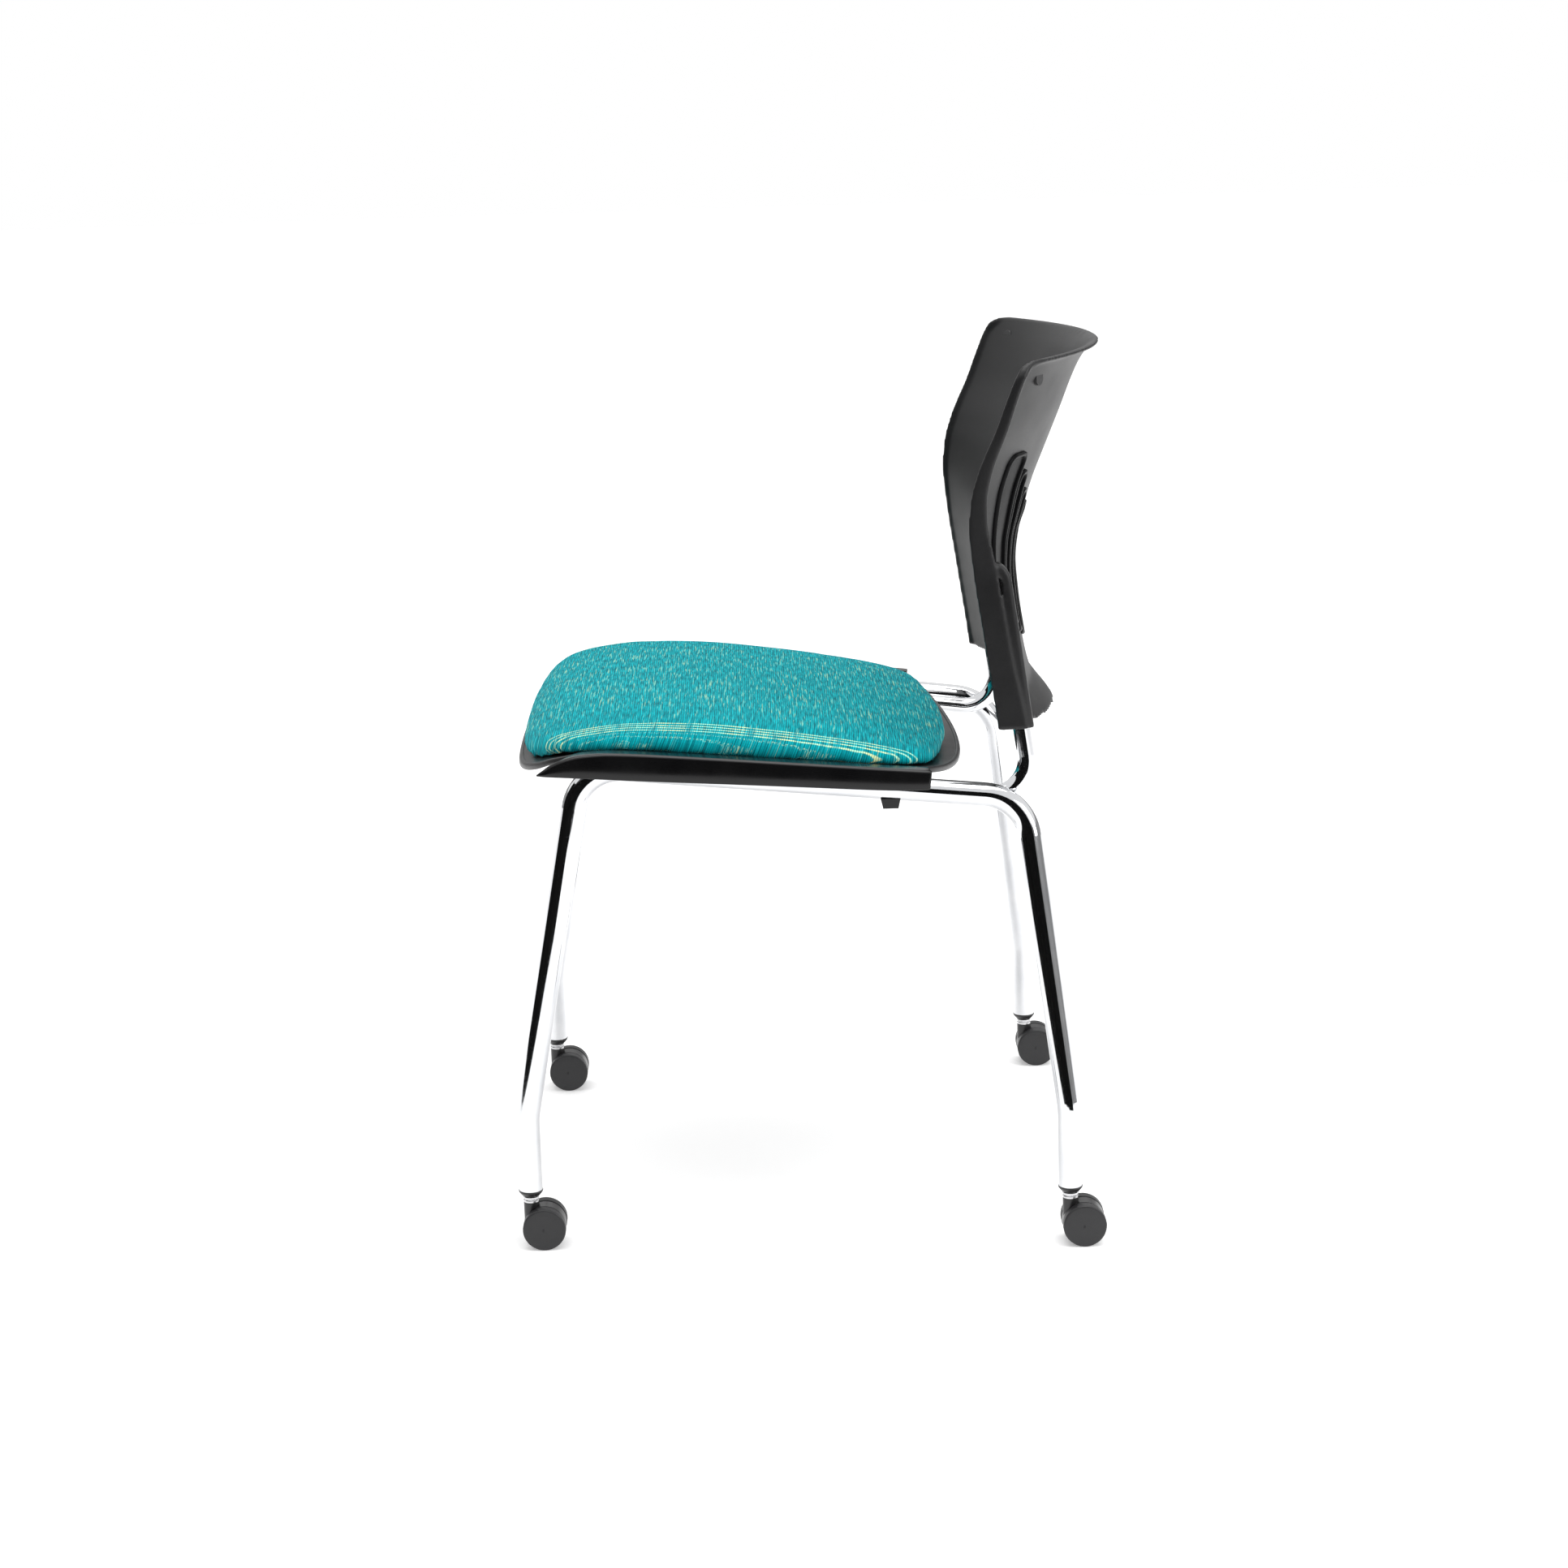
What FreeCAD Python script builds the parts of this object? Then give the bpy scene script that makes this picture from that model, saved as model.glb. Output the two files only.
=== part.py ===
import FreeCAD, Part
import os
import math
import Sketcher
from FreeCAD import Vector as V, Placement, Rotation

# Four-caster desk chair. Millimetres, +Z up, front of the chair towards -Y,
# origin on the floor in the middle of the footprint.
os.makedirs("parts", exist_ok=True)
doc = FreeCAD.newDocument("desk_chair")

# ---------------------------------------------------------------- dimensions
SHEET = [
    # casters
    ("wheel_dia", 40.0, "caster wheel diameter"),
    ("wheel_width", 10.5, "width of one wheel"),
    ("wheel_inner", 8.25, "inner face of a wheel from the caster middle"),
    ("trail", 11.8, "swivel axis to wheel axis"),
    ("axle_dia", 4.0, "caster axle"),
    ("axle_len", 32.0, "caster axle length"),
    ("wheel_bore", 4.12, "wheel bore"),
    ("hood_width", 13.5, "hood between the wheels"),
    ("hood_dia", 39.0, "hood disc"),
    ("hood_cut", 4.0, "hood underside above the floor"),
    ("neck_dia", 14.5, "hood neck"),
    ("neck_base", 13.0, "underside of the neck"),
    ("neck_top", 42.5, "top of the neck"),
    ("stem_dia", 8.0, "caster stem"),
    ("stem_base", 16.0, "lower end of the stem in the neck"),
    ("stem_top", 80.0, "upper end of the stem"),
    ("collar_dia", 14.6, "plated collar"),
    ("collar_top", 48.5, "top of the collar"),
    ("socket_base", 48.9, "underside of the leg socket"),
    ("socket_bore", 8.14, "socket bore for the stem"),
    ("socket_nose", 17.0, "smallest diameter of the socket flange"),
    ("socket_flange", 22.6, "largest diameter of the socket flange"),
    ("socket_plug", 18.9, "socket plug inside the tube"),
    ("socket_depth", 32.0, "length of the plug"),
    # side frame
    ("leg_end", 54.6, "lower end of the legs above the floor"),
    ("frame_od", 22.0, "side frame tube"),
    ("frame_id", 19.0, "side frame tube inside"),
    ("front_leg_x", 232.8, "front leg, lower end"),
    ("front_leg_y", -271.8, "front leg, lower end"),
    ("rear_leg_x", 267.6, "rear leg, lower end"),
    ("rear_leg_y", 226.8, "rear leg, lower end"),
    ("front_kink_z", 124.0, "top of the upright part of the front leg"),
    ("rear_kink_z", 127.6, "top of the upright part of the rear leg"),
    ("front_corner_x", 238.4, "front corner of the seat rail"),
    ("front_corner_y", -209.0, "front corner of the seat rail"),
    ("front_corner_z", 457.1, "front corner of the seat rail"),
    ("rear_corner_x", 216.2, "rear corner of the seat rail"),
    ("rear_corner_y", 193.2, "rear corner of the seat rail"),
    ("rear_corner_z", 410.4, "rear corner of the seat rail"),
    ("bend_front", 42.0, "bend at the front corner"),
    ("bend_rear", 45.0, "bend at the rear corner"),
    ("bend_kink", 60.0, "gentle bend above the casters"),
    # back support
    ("support_od", 16.0, "back support tube"),
    ("support_id", 13.0, "back support tube inside"),
    ("support_front_y", -180.0, "front end of the support tube"),
    ("support_inset", 23.0, "support tube inboard of the rail"),
    ("support_drop", 3.0, "support tube below the rail at its front end"),
    ("support_corner_x", 193.5, "support tube corner"),
    ("support_corner_y", 202.5, "support tube corner"),
    ("support_corner_z", 403.5, "support tube corner"),
    ("support_top_x", 196.0, "top of the support tube"),
    ("support_top_y", 174.0, "top of the support tube"),
    ("support_top_z", 612.0, "top of the support tube"),
    ("bend_support", 32.0, "bend of the support tube"),
    # seat brackets and seat
    ("bracket_len", 36.0, "seat bracket along the rail"),
    ("bracket_t", 3.0, "seat bracket plate"),
    ("shell_t", 4.0, "seat shell wall"),
    ("board_t", 6.0, "seat board"),
    ("seat_half", 242.0, "half width of the seat shell at the front"),
    ("seat_taper", 17.0, "narrowing of the half width to the rear"),
    ("screw_dia", 6.0, "seat screw"),
    ("screw_len", 18.0, "seat screw under its head"),
    ("screw_head", 12.0, "seat screw head"),
    ("screw_head_t", 4.0, "seat screw head height"),
    ("screw_x", 110.0, "seat screws from the middle"),
    # side skirt
    ("skirt_t", 3.0, "skirt wall"),
    ("skirt_flange", 15.0, "skirt top flange"),
    # bumpers
    ("bumper_len", 18.0, "bumper along the rail"),
    ("bumper_foot", 14.0, "bumper underside length"),
    ("bumper_width", 16.0, "bumper across the rail"),
    ("bumper_y", 71.0, "bumper station"),
    ("bumper_z", 407.0, "bumper underside"),
    # back
    ("back_half", 207.0, "half width of the back"),
    ("back_wall", 4.0, "wall of the back"),
    ("back_side", 5.0, "wall of the side members"),
    ("boss_od", 23.0, "pocket around the support tube"),
    ("boss_bore", 16.3, "bore of the pocket"),
    ("grille_t", 3.0, "grille stands proud of the back"),
    ("slot_w", 14.0, "grille slot width"),
    ("slot_pitch", 24.0, "grille slot pitch"),
    ("slot_wide", 29.0, "outermost grille slot width"),
    ("slot_depth", 2.4, "depth of the slots into the back"),
    ("plug_dia", 14.0, "plug cap"),
    ("plug_t", 3.4, "plug cap thickness"),
]
sheet = doc.addObject("Spreadsheet::Sheet", "dims")
sheet.Label = "dims"


class Dim:
    """A value together with the sheet expression that gives it."""

    def __init__(self, v, e):
        self.v, self.e = float(v), e

    @staticmethod
    def of(o):
        return o if isinstance(o, Dim) else Dim(o, "(%r)" % float(o))

    def __add__(self, o):
        o = Dim.of(o)
        return Dim(self.v + o.v, "(%s + %s)" % (self.e, o.e))

    __radd__ = __add__

    def __sub__(self, o):
        o = Dim.of(o)
        return Dim(self.v - o.v, "(%s - %s)" % (self.e, o.e))

    def __rsub__(self, o):
        return Dim.of(o) - self

    def __mul__(self, o):
        o = Dim.of(o)
        return Dim(self.v * o.v, "(%s * %s)" % (self.e, o.e))

    __rmul__ = __mul__

    def __truediv__(self, o):
        o = Dim.of(o)
        return Dim(self.v / o.v, "(%s / %s)" % (self.e, o.e))

    def __neg__(self):
        return Dim.of(0) - self


D = {}
for row, (name, value, note) in enumerate(SHEET, start=1):
    sheet.set("A%d" % row, name)
    sheet.set("B%d" % row, "%g" % value)
    sheet.setAlias("B%d" % row, name)
    sheet.set("C%d" % row, note)
    D[name] = Dim(value, "dims." + name)
doc.recompute()


def val(name):
    return float(sheet.get(name))


NODES = {}


def node(obj, label):
    obj.Label = label
    NODES[label] = obj
    return obj


def bind(obj, **props):
    for prop, d in props.items():
        if isinstance(d, Dim):
            obj.setExpression(prop, d.e)
        else:
            setattr(obj, prop, d)
    return obj


def at(obj, x=0, y=0, z=0, rot=None):
    """Placement with its base bound to the sheet."""
    x, y, z = Dim.of(x), Dim.of(y), Dim.of(z)
    obj.Placement = Placement(V(x.v, y.v, z.v), rot or Rotation())
    obj.setExpression("Placement.Base.x", x.e)
    obj.setExpression("Placement.Base.y", y.e)
    obj.setExpression("Placement.Base.z", z.e)
    return obj


def plane(body, role):
    return [f for f in body.Origin.OriginFeatures if f.Role == role][0]


def sketch(body, role, pts, name):
    """Closed polyline sketch on an origin plane, every corner bound to the sheet."""
    sk = body.newObject("Sketcher::SketchObject", name)
    sk.AttachmentSupport = [(plane(body, role), "")]
    sk.MapMode = "FlatFace"
    pts = [(Dim.of(a), Dim.of(b)) for a, b in pts]
    n = len(pts)
    for i in range(n):
        a, b = pts[i], pts[(i + 1) % n]
        sk.addGeometry(Part.LineSegment(V(a[0].v, a[1].v, 0), V(b[0].v, b[1].v, 0)), False)
    for i in range(n):
        sk.addConstraint(Sketcher.Constraint("Coincident", i, 2, (i + 1) % n, 1))
    for i, (a, b) in enumerate(pts):
        for kind, d, axis in (("DistanceX", a, -2), ("DistanceY", b, -1)):
            if abs(d.v) < 1e-9:
                sk.addConstraint(Sketcher.Constraint("PointOnObject", i, 1, axis))
            else:
                k = sk.addConstraint(Sketcher.Constraint(kind, -1, 1, i, 1, d.v))
                cname = "%s%d" % (kind[-1].lower(), i)
                sk.renameConstraint(k, "p" + cname)
                sk.setExpression("Constraints.p" + cname, d.e)
    return sk


def revolved(label, pts, rot=None, xyz=(0, 0, 0)):
    """Body turned about its own Z axis from (radius, height) corners."""
    body = doc.addObject("PartDesign::Body", label)
    sk = sketch(body, "XZ_Plane", pts, label + "_profile")
    rev = body.newObject("PartDesign::Revolution", label + "_turn")
    rev.Profile = sk
    rev.ReferenceAxis = (sk, ["V_Axis"])
    rev.Angle = 360
    body.Tip = rev
    sk.Visibility = False
    at(body, *xyz, rot=rot)
    return node(body, label)


def cylinder(name, dia, height, xyz=(0, 0, 0), rot=None):
    c = doc.addObject("Part::Cylinder", name)
    bind(c, Radius=Dim.of(dia) / 2, Height=Dim.of(height))
    return at(c, *xyz, rot=rot)


def cut(name, base, tool):
    c = doc.addObject("Part::Cut", name)
    c.Base, c.Tool = base, tool
    return c


def fuse(name, *objs):
    c = doc.addObject("Part::MultiFuse", name)
    c.Shapes = list(objs)
    return c


def common(name, a, b):
    c = doc.addObject("Part::Common", name)
    c.Base, c.Tool = a, b
    return c


def feature(name, shape):
    f = doc.addObject("Part::Feature", name)
    f.Shape = shape
    return f


# ---------------------------------------------------------------- tube paths
def bent_path(points, radii):
    """Straight runs joined by tangent arcs."""
    edges, start = [], points[0]
    for i in range(1, len(points) - 1):
        p, q, r = points[i - 1], points[i], points[i + 1]
        a, b = (p - q).normalize(), (r - q).normalize()
        half = a.getAngle(b) / 2
        t = radii[i - 1] / math.tan(half)
        s, e = q + a * t, q + b * t
        bis = (a + b).normalize()
        mid = q + bis * (radii[i - 1] / math.sin(half) - radii[i - 1])
        edges.append(Part.LineSegment(start, s).toShape())
        edges.append(Part.Arc(s, mid, e).toShape())
        start = e
    edges.append(Part.LineSegment(start, points[-1]).toShape())
    return Part.Wire(edges)


def swept_tube(name, points, radii, od, bore=None):
    """Sweep of a circle along the path, hollow when a bore is given."""
    path = feature(name + "_path", bent_path(points, radii))
    n = len(path.Shape.Edges)
    direction = points[1] - points[0]
    rot = Rotation(V(0, 0, 1), direction)
    solids = []
    for tag, dia in (("outer", od), ("inner", bore)):
        if dia is None:
            continue
        circle = doc.addObject("Part::Circle", "%s_%s_section" % (name, tag))
        bind(circle, Radius=dia / 2)
        circle.Placement = Placement(points[0], rot)
        sweep = doc.addObject("Part::Sweep", "%s_%s" % (name, tag))
        sweep.Sections = [circle]
        sweep.Spine = (path, ["Edge%d" % (k + 1) for k in range(n)])
        sweep.Solid = True
        sweep.Frenet = False
        sweep.Transition = "Right corner"
        solids.append(sweep)
    if bore is None:
        return solids[0], solids[0]
    return cut(name, solids[0], solids[1]), solids[0]


def rail_x(y):
    return D["front_corner_x"].v + (D["rear_corner_x"].v - D["front_corner_x"].v) * (
        (y - D["front_corner_y"].v) / (D["rear_corner_y"].v - D["front_corner_y"].v))


def rail_z(y):
    return D["front_corner_z"].v + (D["rear_corner_z"].v - D["front_corner_z"].v) * (
        (y - D["front_corner_y"].v) / (D["rear_corner_y"].v - D["front_corner_y"].v))


RAIL_TILT = math.degrees(math.atan2(D["front_corner_z"].v - D["rear_corner_z"].v,
                                    D["rear_corner_y"].v - D["front_corner_y"].v))
RAIL_YAW = math.degrees(math.atan2(D["front_corner_x"].v - D["rear_corner_x"].v,
                                   D["rear_corner_y"].v - D["front_corner_y"].v))

rail_solid, support_solid = {}, {}
for side, sx in (("left", -1), ("right", 1)):
    pts = [
        V(sx * val("front_leg_x"), val("front_leg_y"), val("leg_end")),
        V(sx * val("front_leg_x"), val("front_leg_y"), val("front_kink_z")),
        V(sx * val("front_corner_x"), val("front_corner_y"), val("front_corner_z")),
        V(sx * val("rear_corner_x"), val("rear_corner_y"), val("rear_corner_z")),
        V(sx * val("rear_leg_x"), val("rear_leg_y"), val("rear_kink_z")),
        V(sx * val("rear_leg_x"), val("rear_leg_y"), val("leg_end")),
    ]
    tube, outer = swept_tube(side + "_side_frame", pts,
                             [val("bend_kink"), val("bend_front"), val("bend_rear"), val("bend_kink")],
                             D["frame_od"], D["frame_id"])
    node(tube, side + "_side_frame")
    rail_solid[side] = outer

    fy = val("support_front_y")
    pts = [
        V(sx * (rail_x(fy) - val("support_inset")), fy, rail_z(fy) - val("support_drop")),
        V(sx * val("support_corner_x"), val("support_corner_y"), val("support_corner_z")),
        V(sx * val("support_top_x"), val("support_top_y"), val("support_top_z")),
    ]
    tube, outer = swept_tube(side + "_back_support", pts, [val("bend_support")],
                             D["support_od"], D["support_id"])
    node(tube, side + "_back_support")
    support_solid[side] = (outer, pts)

# ---------------------------------------------------------------- seat surface
# Height of the seat shell's upper face. Stations along Y, middle and side.
SEAT_Y = [-290.0, -277.0, -265.0, -250.0, -235.0, -205.0, -182.0, -146.0, -73.0, 0.0, 74.0, 110.0, 126.0, 138.0,
          147.0, 165.0]
SEAT_MID = [418.0, 430.5, 440.0, 447.0, 451.0, 453.5, 453.5, 452.0, 445.0, 437.5, 429.5, 424.8, 422.3, 420.2, 418.6,
            415.0]
SEAT_SIDE = [436.0, 442.0, 448.0, 456.0, 463.5, 469.0, 469.5, 467.0, 459.0, 451.5, 444.5, 442.5, 441.8, 441.2, 440.8,
             440.0]


def lin(xs, ys, x):
    """Smooth monotone interpolation through the stations."""
    n = len(xs)
    x = min(max(x, xs[0]), xs[-1])
    i = max(k for k in range(n - 1) if xs[k] <= x)
    d = [(ys[k + 1] - ys[k]) / (xs[k + 1] - xs[k]) for k in range(n - 1)]
    m = [d[0]] + [0.0 if d[k - 1] * d[k] <= 0 else 2 * d[k - 1] * d[k] / (d[k - 1] + d[k])
                  for k in range(1, n - 1)] + [d[-1]]
    w = xs[i + 1] - xs[i]
    t = (x - xs[i]) / w
    return ((2 * t**3 - 3 * t**2 + 1) * ys[i] + (t**3 - 2 * t**2 + t) * w * m[i]
            + (-2 * t**3 + 3 * t**2) * ys[i + 1] + (t**3 - t**2) * w * m[i + 1])


def seat_half_at(y):
    return val("seat_half") - val("seat_taper") * min(max((y + 209.0) / 316.0, -0.2), 1.1)


def seat_z(x, y):
    u = min(abs(x) / seat_half_at(y), 1.1)
    mid, side = lin(SEAT_Y, SEAT_MID, y), lin(SEAT_Y, SEAT_SIDE, y)
    return mid + (side - mid) * (0.62 * u**2 + 0.38 * u**4)


def surface(fz, x0, x1, y0, y1, nx=25, ny=27):
    rows = []
    for i in range(nx):
        x = x0 + (x1 - x0) * i / (nx - 1)
        rows.append([V(x, y0 + (y1 - y0) * j / (ny - 1), fz(x, y0 + (y1 - y0) * j / (ny - 1)))
                     for j in range(ny)])
    s = Part.BSplineSurface()
    s.interpolate(rows)
    return s.toShape()


def outward(s):
    """Solid with its faces turned outwards."""
    if s.Volume < 0:
        s.reverse()
    return s


def slab(fz, up, x0=-258, x1=258, y0=-285, y1=162):
    """Solid between the surface and its copy moved up or down."""
    return outward(surface(fz, x0, x1, y0, y1).extrude(V(0, 0, up)))


def plan(front=-276.5, rear=147.0, dh=0.0, inset=0.0, rear_bow=(26.0, 5.4), n_front=7.0, n_rear=18.0):
    """Plan outline of the seat: straight converging sides, bowed front and rear edges."""
    def point(cx, cy):
        y_lin = (front + rear) / 2 + cy * (rear - front) / 2
        x = cx * (seat_half_at(y_lin) - dh)
        u = (x / 200.0) ** 2
        yr = rear - rear_bow[0] * u - rear_bow[1] * u * u
        yf = front + 12.0 * u + 6.0 * u * u
        return V(x, (yf + yr) / 2 + cy * (yr - yf) / 2, 0)

    def quarter(n, m=16):
        """From the end of the side to the middle of the end, in unit coordinates."""
        k = 0.5 ** (1.0 / n)
        a = [((1 - (k * t / m) ** n) ** (1.0 / n), k * t / m) for t in range(m)]
        b = [(k * t / m, (1 - (k * t / m) ** n) ** (1.0 / n)) for t in range(m, -1, -1)]
        return a + b

    qr, qf = quarter(n_rear), quarter(n_front)
    unit = [(x, y) for x, y in qr] + [(-x, y) for x, y in reversed(qr)][1:]
    unit += [(-x, -y) for x, y in qf][1:] + [(x, -y) for x, y in reversed(qf)][1:-1]
    raw = [point(x, y) for x, y in unit]
    if inset:
        wire = Part.makePolygon(raw + [raw[0]]).makeOffset2D(-inset, 2, False, False, False)
        raw = [v.Point for v in wire.OrderedVertexes]
    pts = [raw[0]]
    for p in raw[1:]:
        if (p - pts[-1]).Length > 3.5:
            pts.append(p)
    if (pts[-1] - pts[0]).Length < 3.5:
        pts.pop()
    c = Part.BSplineCurve()
    c.interpolate(pts, True)
    return Part.Wire([c.toShape()])


def prism(wire, z0=330.0, z1=620.0):
    f = Part.Face(wire)
    f.translate(V(0, 0, z0))
    return f.extrude(V(0, 0, z1 - z0))


def shifted(dz):
    return lambda x, y: seat_z(x, y) + dz


SCREWS = [(sx * val("screw_x"), y) for y in (-150.0, 30.0) for sx in (-1, 1)]

shell_shape = slab(shifted(0.0), -val("shell_t")).common(prism(plan()))
SEAT_SHELL = shell_shape

board_shape = slab(shifted(0.3), val("board_t")).common(prism(plan(inset=34.0)))
for x, y in SCREWS:
    board_shape = board_shape.cut(Part.makeCylinder(val("screw_dia") / 2 + 0.05, 60, V(x, y, seat_z(x, y) - 40)))
node(feature("seat_board", board_shape), "seat_board")

# cushion: crowned pad that stands on the shell around the board
CUSH_Y = [-290.0, -272.0, -265.0, -249.0, -232.0, -198.0, -165.0, -115.0, -33.0, 50.0, 91.0, 125.0, 150.0]
CUSH_MID = [420.0, 447.0, 457.0, 473.0, 481.0, 488.0, 491.0, 489.5, 481.0, 468.0, 458.0, 444.0, 426.0]


def cushion_top(x, y):
    u = min(abs(x) / (seat_half_at(y) - 12.0), 1.0)
    return lin(CUSH_Y, CUSH_MID, y) - 7.0 * u**2 - 9.0 * u**14


cush = slab(shifted(0.2), 70.0).common(prism(plan(front=-271.5, rear=133.0, dh=12.0, rear_bow=(24.7, -1.1),
                                                n_front=6.5, n_rear=11.0)))
cush = cush.common(slab(cushion_top, -90.0))
cush = cush.cut(slab(shifted(-1.0), val("board_t") + 1.7).common(prism(plan(inset=33.4))))
for x, y in SCREWS:
    cush = cush.cut(Part.makeCylinder(val("screw_dia") / 2 + 0.5, 13.0, V(x, y, seat_z(x, y))))
node(feature("seat_cushion", cush), "seat_cushion")

# ---------------------------------------------------------------- seat brackets
for tag, y, low in (("front", -150.0, 4.9), ("rear", 30.0, 3.4)):
    zr, xr = rail_z(y), rail_x(y)
    mid = seat_z(0, y + 18.0) - val("shell_t") - 0.8 - zr
    t = D["bracket_t"]
    b = doc.addObject("PartDesign::Body", "seat_bracket_" + tag)
    e = xr - 9.4
    top = [(-e, low + 3.0), (-176.0, low + 3.0), (-150.0, mid), (150.0, mid), (176.0, low + 3.0), (e, low + 3.0)]
    low_pts = [(x, Dim.of(z) - t) for x, z in reversed(top)]
    sk = sketch(b, "XZ_Plane", [(x, Dim.of(z)) for x, z in top] + low_pts, "bracket_%s_profile" % tag)
    pad = b.newObject("PartDesign::Pad", "bracket_%s_pad" % tag)
    pad.Profile = sk
    pad.setExpression("Length", D["bracket_len"].e)
    pad.Midplane = True
    b.Tip = pad
    b.Placement = Placement(V(0, y, zr), Rotation(V(1, 0, 0), -RAIL_TILT))
    doc.recompute()
    holes = [cylinder("bracket_%s_hole_%d" % (tag, k), D["screw_dia"] + 0.6, 60.0,
                      (x, yy, zr - 30.0)) for k, (x, yy) in enumerate(SCREWS) if yy == y]
    drilled = cut("seat_bracket_%s_drilled" % tag, b, fuse("bracket_%s_holes" % tag, *holes))
    node(drilled, "seat_bracket_" + tag)
    b.Label = "seat_bracket_%s_blank" % tag

# feet moulded under the shell stand on the brackets, and the screws pass through them
doc.recompute()
shell_shape = SEAT_SHELL
under = slab(shifted(-val("shell_t") / 2), -40.0)
for x, y in SCREWS:
    foot = Part.makeCylinder(10.0, 30.0, V(x, y, seat_z(x, y) - 30.0)).common(under)
    foot = foot.cut(NODES["seat_bracket_front" if y < 0 else "seat_bracket_rear"].Base.Shape)
    foot = max(foot.Solids, key=lambda q: q.CenterOfMass.z)
    shell_shape = shell_shape.fuse(foot)
for x, y in SCREWS:
    shell_shape = shell_shape.cut(Part.makeCylinder(val("screw_dia") / 2 + 0.3, 60, V(x, y, seat_z(x, y) - 40)))
node(feature("seat_shell", shell_shape), "seat_shell")

# seat screws: four hexagon screws with washers faces, one node
screws = []
for k, (x, y) in enumerate(SCREWS):
    ztop = seat_z(x, y) + 0.3 + 4.5
    zr = rail_z(y)
    mid = seat_z(0, y + 18.0) - val("shell_t") - 0.8 - zr
    under = zr + mid - 3.0 - 1.2
    shank = cylinder("screw_shank_%d" % k, D["screw_dia"], ztop - under, (x, y, under))
    head = doc.addObject("Part::Prism", "screw_head_%d" % k)
    head.Polygon = 6
    bind(head, Circumradius=D["screw_head"] / 2, Height=D["screw_head_t"])
    at(head, x, y, Dim.of(under) - D["screw_head_t"])
    screws.append(fuse("screw_%d" % k, shank, head))
group = doc.addObject("Part::Compound", "seat_screws")
group.Links = screws
node(group, "seat_screws")

# ---------------------------------------------------------------- side skirts
# side profile as (station along the rail from the front corner, height over the rail centre)
SKIRT_TOP = [(-37.5, -7.6), (-32.5, -3.4), (-27.0, 1.3), (-17.2, 6.9), (-6.6, 10.9), (4.1, 13.5), (25.7, 16.4),
             (62.0, 17.9), (135.0, 19.1), (208.0, 19.9), (282.0, 20.7), (318.0, 21.3)]
SKIRT_LOW = [(318.0, 3.6), (283.6, 0.6), (210.0, -1.8), (136.8, -4.0), (63.9, -6.5), (0.0, -8.1), (-36.5, -9.0)]
for side, sx in (("left", -1), ("right", 1)):
    b = doc.addObject("PartDesign::Body", side + "_side_skirt")
    prof = [(s, z) for s, z in SKIRT_TOP] + [(s, z) for s, z in SKIRT_LOW]
    sk = sketch(b, "YZ_Plane", prof, side + "_skirt_profile")
    pad = b.newObject("PartDesign::Pad", side + "_skirt_wall")
    pad.Profile = sk
    pad.setExpression("Length", D["skirt_t"].e)
    pad.Reversed = sx < 0
    # inward flange along the top edge
    top = [(s, z) for s, z in SKIRT_TOP[3:]]
    prof2 = top + [(s, Dim.of(z) - 2.2) for s, z in reversed(top)]
    sk2 = sketch(b, "YZ_Plane", prof2, side + "_skirt_flange_profile")
    pad2 = b.newObject("PartDesign::Pad", side + "_skirt_flange")
    pad2.Profile = sk2
    pad2.setExpression("Length", D["skirt_flange"].e)
    pad2.Reversed = sx > 0
    b.Tip = pad2
    # the rail slopes down and inwards to the rear
    yaw = Rotation(V(0, 0, 1), sx * RAIL_YAW)
    tilt = Rotation(V(1, 0, 0), -RAIL_TILT)
    b.Placement = Placement(V(sx * (val("front_corner_x") + val("frame_od") / 2 + 0.6), val("front_corner_y"),
                              val("front_corner_z")), yaw.multiply(tilt))
    node(b, side + "_side_skirt")

# ---------------------------------------------------------------- stacking bumpers
for side, sx in (("left", -1), ("right", 1)):
    b = doc.addObject("PartDesign::Body", side + "_stacking_bumper_block")
    h = 9.0
    sk = sketch(b, "YZ_Plane", [(-D["bumper_foot"] / 2, 0), (D["bumper_foot"] / 2, 0), (D["bumper_len"] / 2, h),
                                (-D["bumper_len"] / 2, h)], side + "_bumper_profile")
    pad = b.newObject("PartDesign::Pad", side + "_bumper_pad")
    pad.Profile = sk
    pad.setExpression("Length", D["bumper_width"].e)
    pad.Midplane = True
    b.Tip = pad
    at(b, sx * rail_x(val("bumper_y")), D["bumper_y"], D["bumper_z"])
    node(cut(side + "_stacking_bumper", b, rail_solid[side]), side + "_stacking_bumper")

# ---------------------------------------------------------------- back
BACK_Z = [444.0, 455.0, 466.0, 478.0, 492.0, 532.0, 570.0, 600.0, 630.0, 655.0, 680.0, 706.0, 745.0, 770.0, 788.0,
          798.0, 806.0]
BACK_F = [175.0, 173.6, 172.0, 170.5, 168.8, 163.0, 157.5, 153.0, 149.5, 147.5, 149.5, 156.5, 173.5, 183.0, 190.3,
          194.8, 198.6]
BACK_R = [247.0, 241.4, 234.5, 225.0, 216.0, 207.5, 202.3, 200.3, 204.0, 213.0, 221.7, 232.5, 248.5, 258.3, 266.8,
          274.0, 283.0]
BACK_D = [27.0, 27.0, 27.0, 26.5, 25.8, 23.0, 22.0, 21.7, 20.5, 18.0, 15.5, 13.5, 11.5, 10.5, 10.0, 10.0, 10.0]
BACK_S = 5.0


def back_rear(x, z):
    """Rear face of the back wall."""
    f, r = lin(BACK_Z, BACK_F, z), lin(BACK_Z, BACK_R, z)
    return r - (r - (f + BACK_S)) * (x / val("back_half")) ** 2


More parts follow.
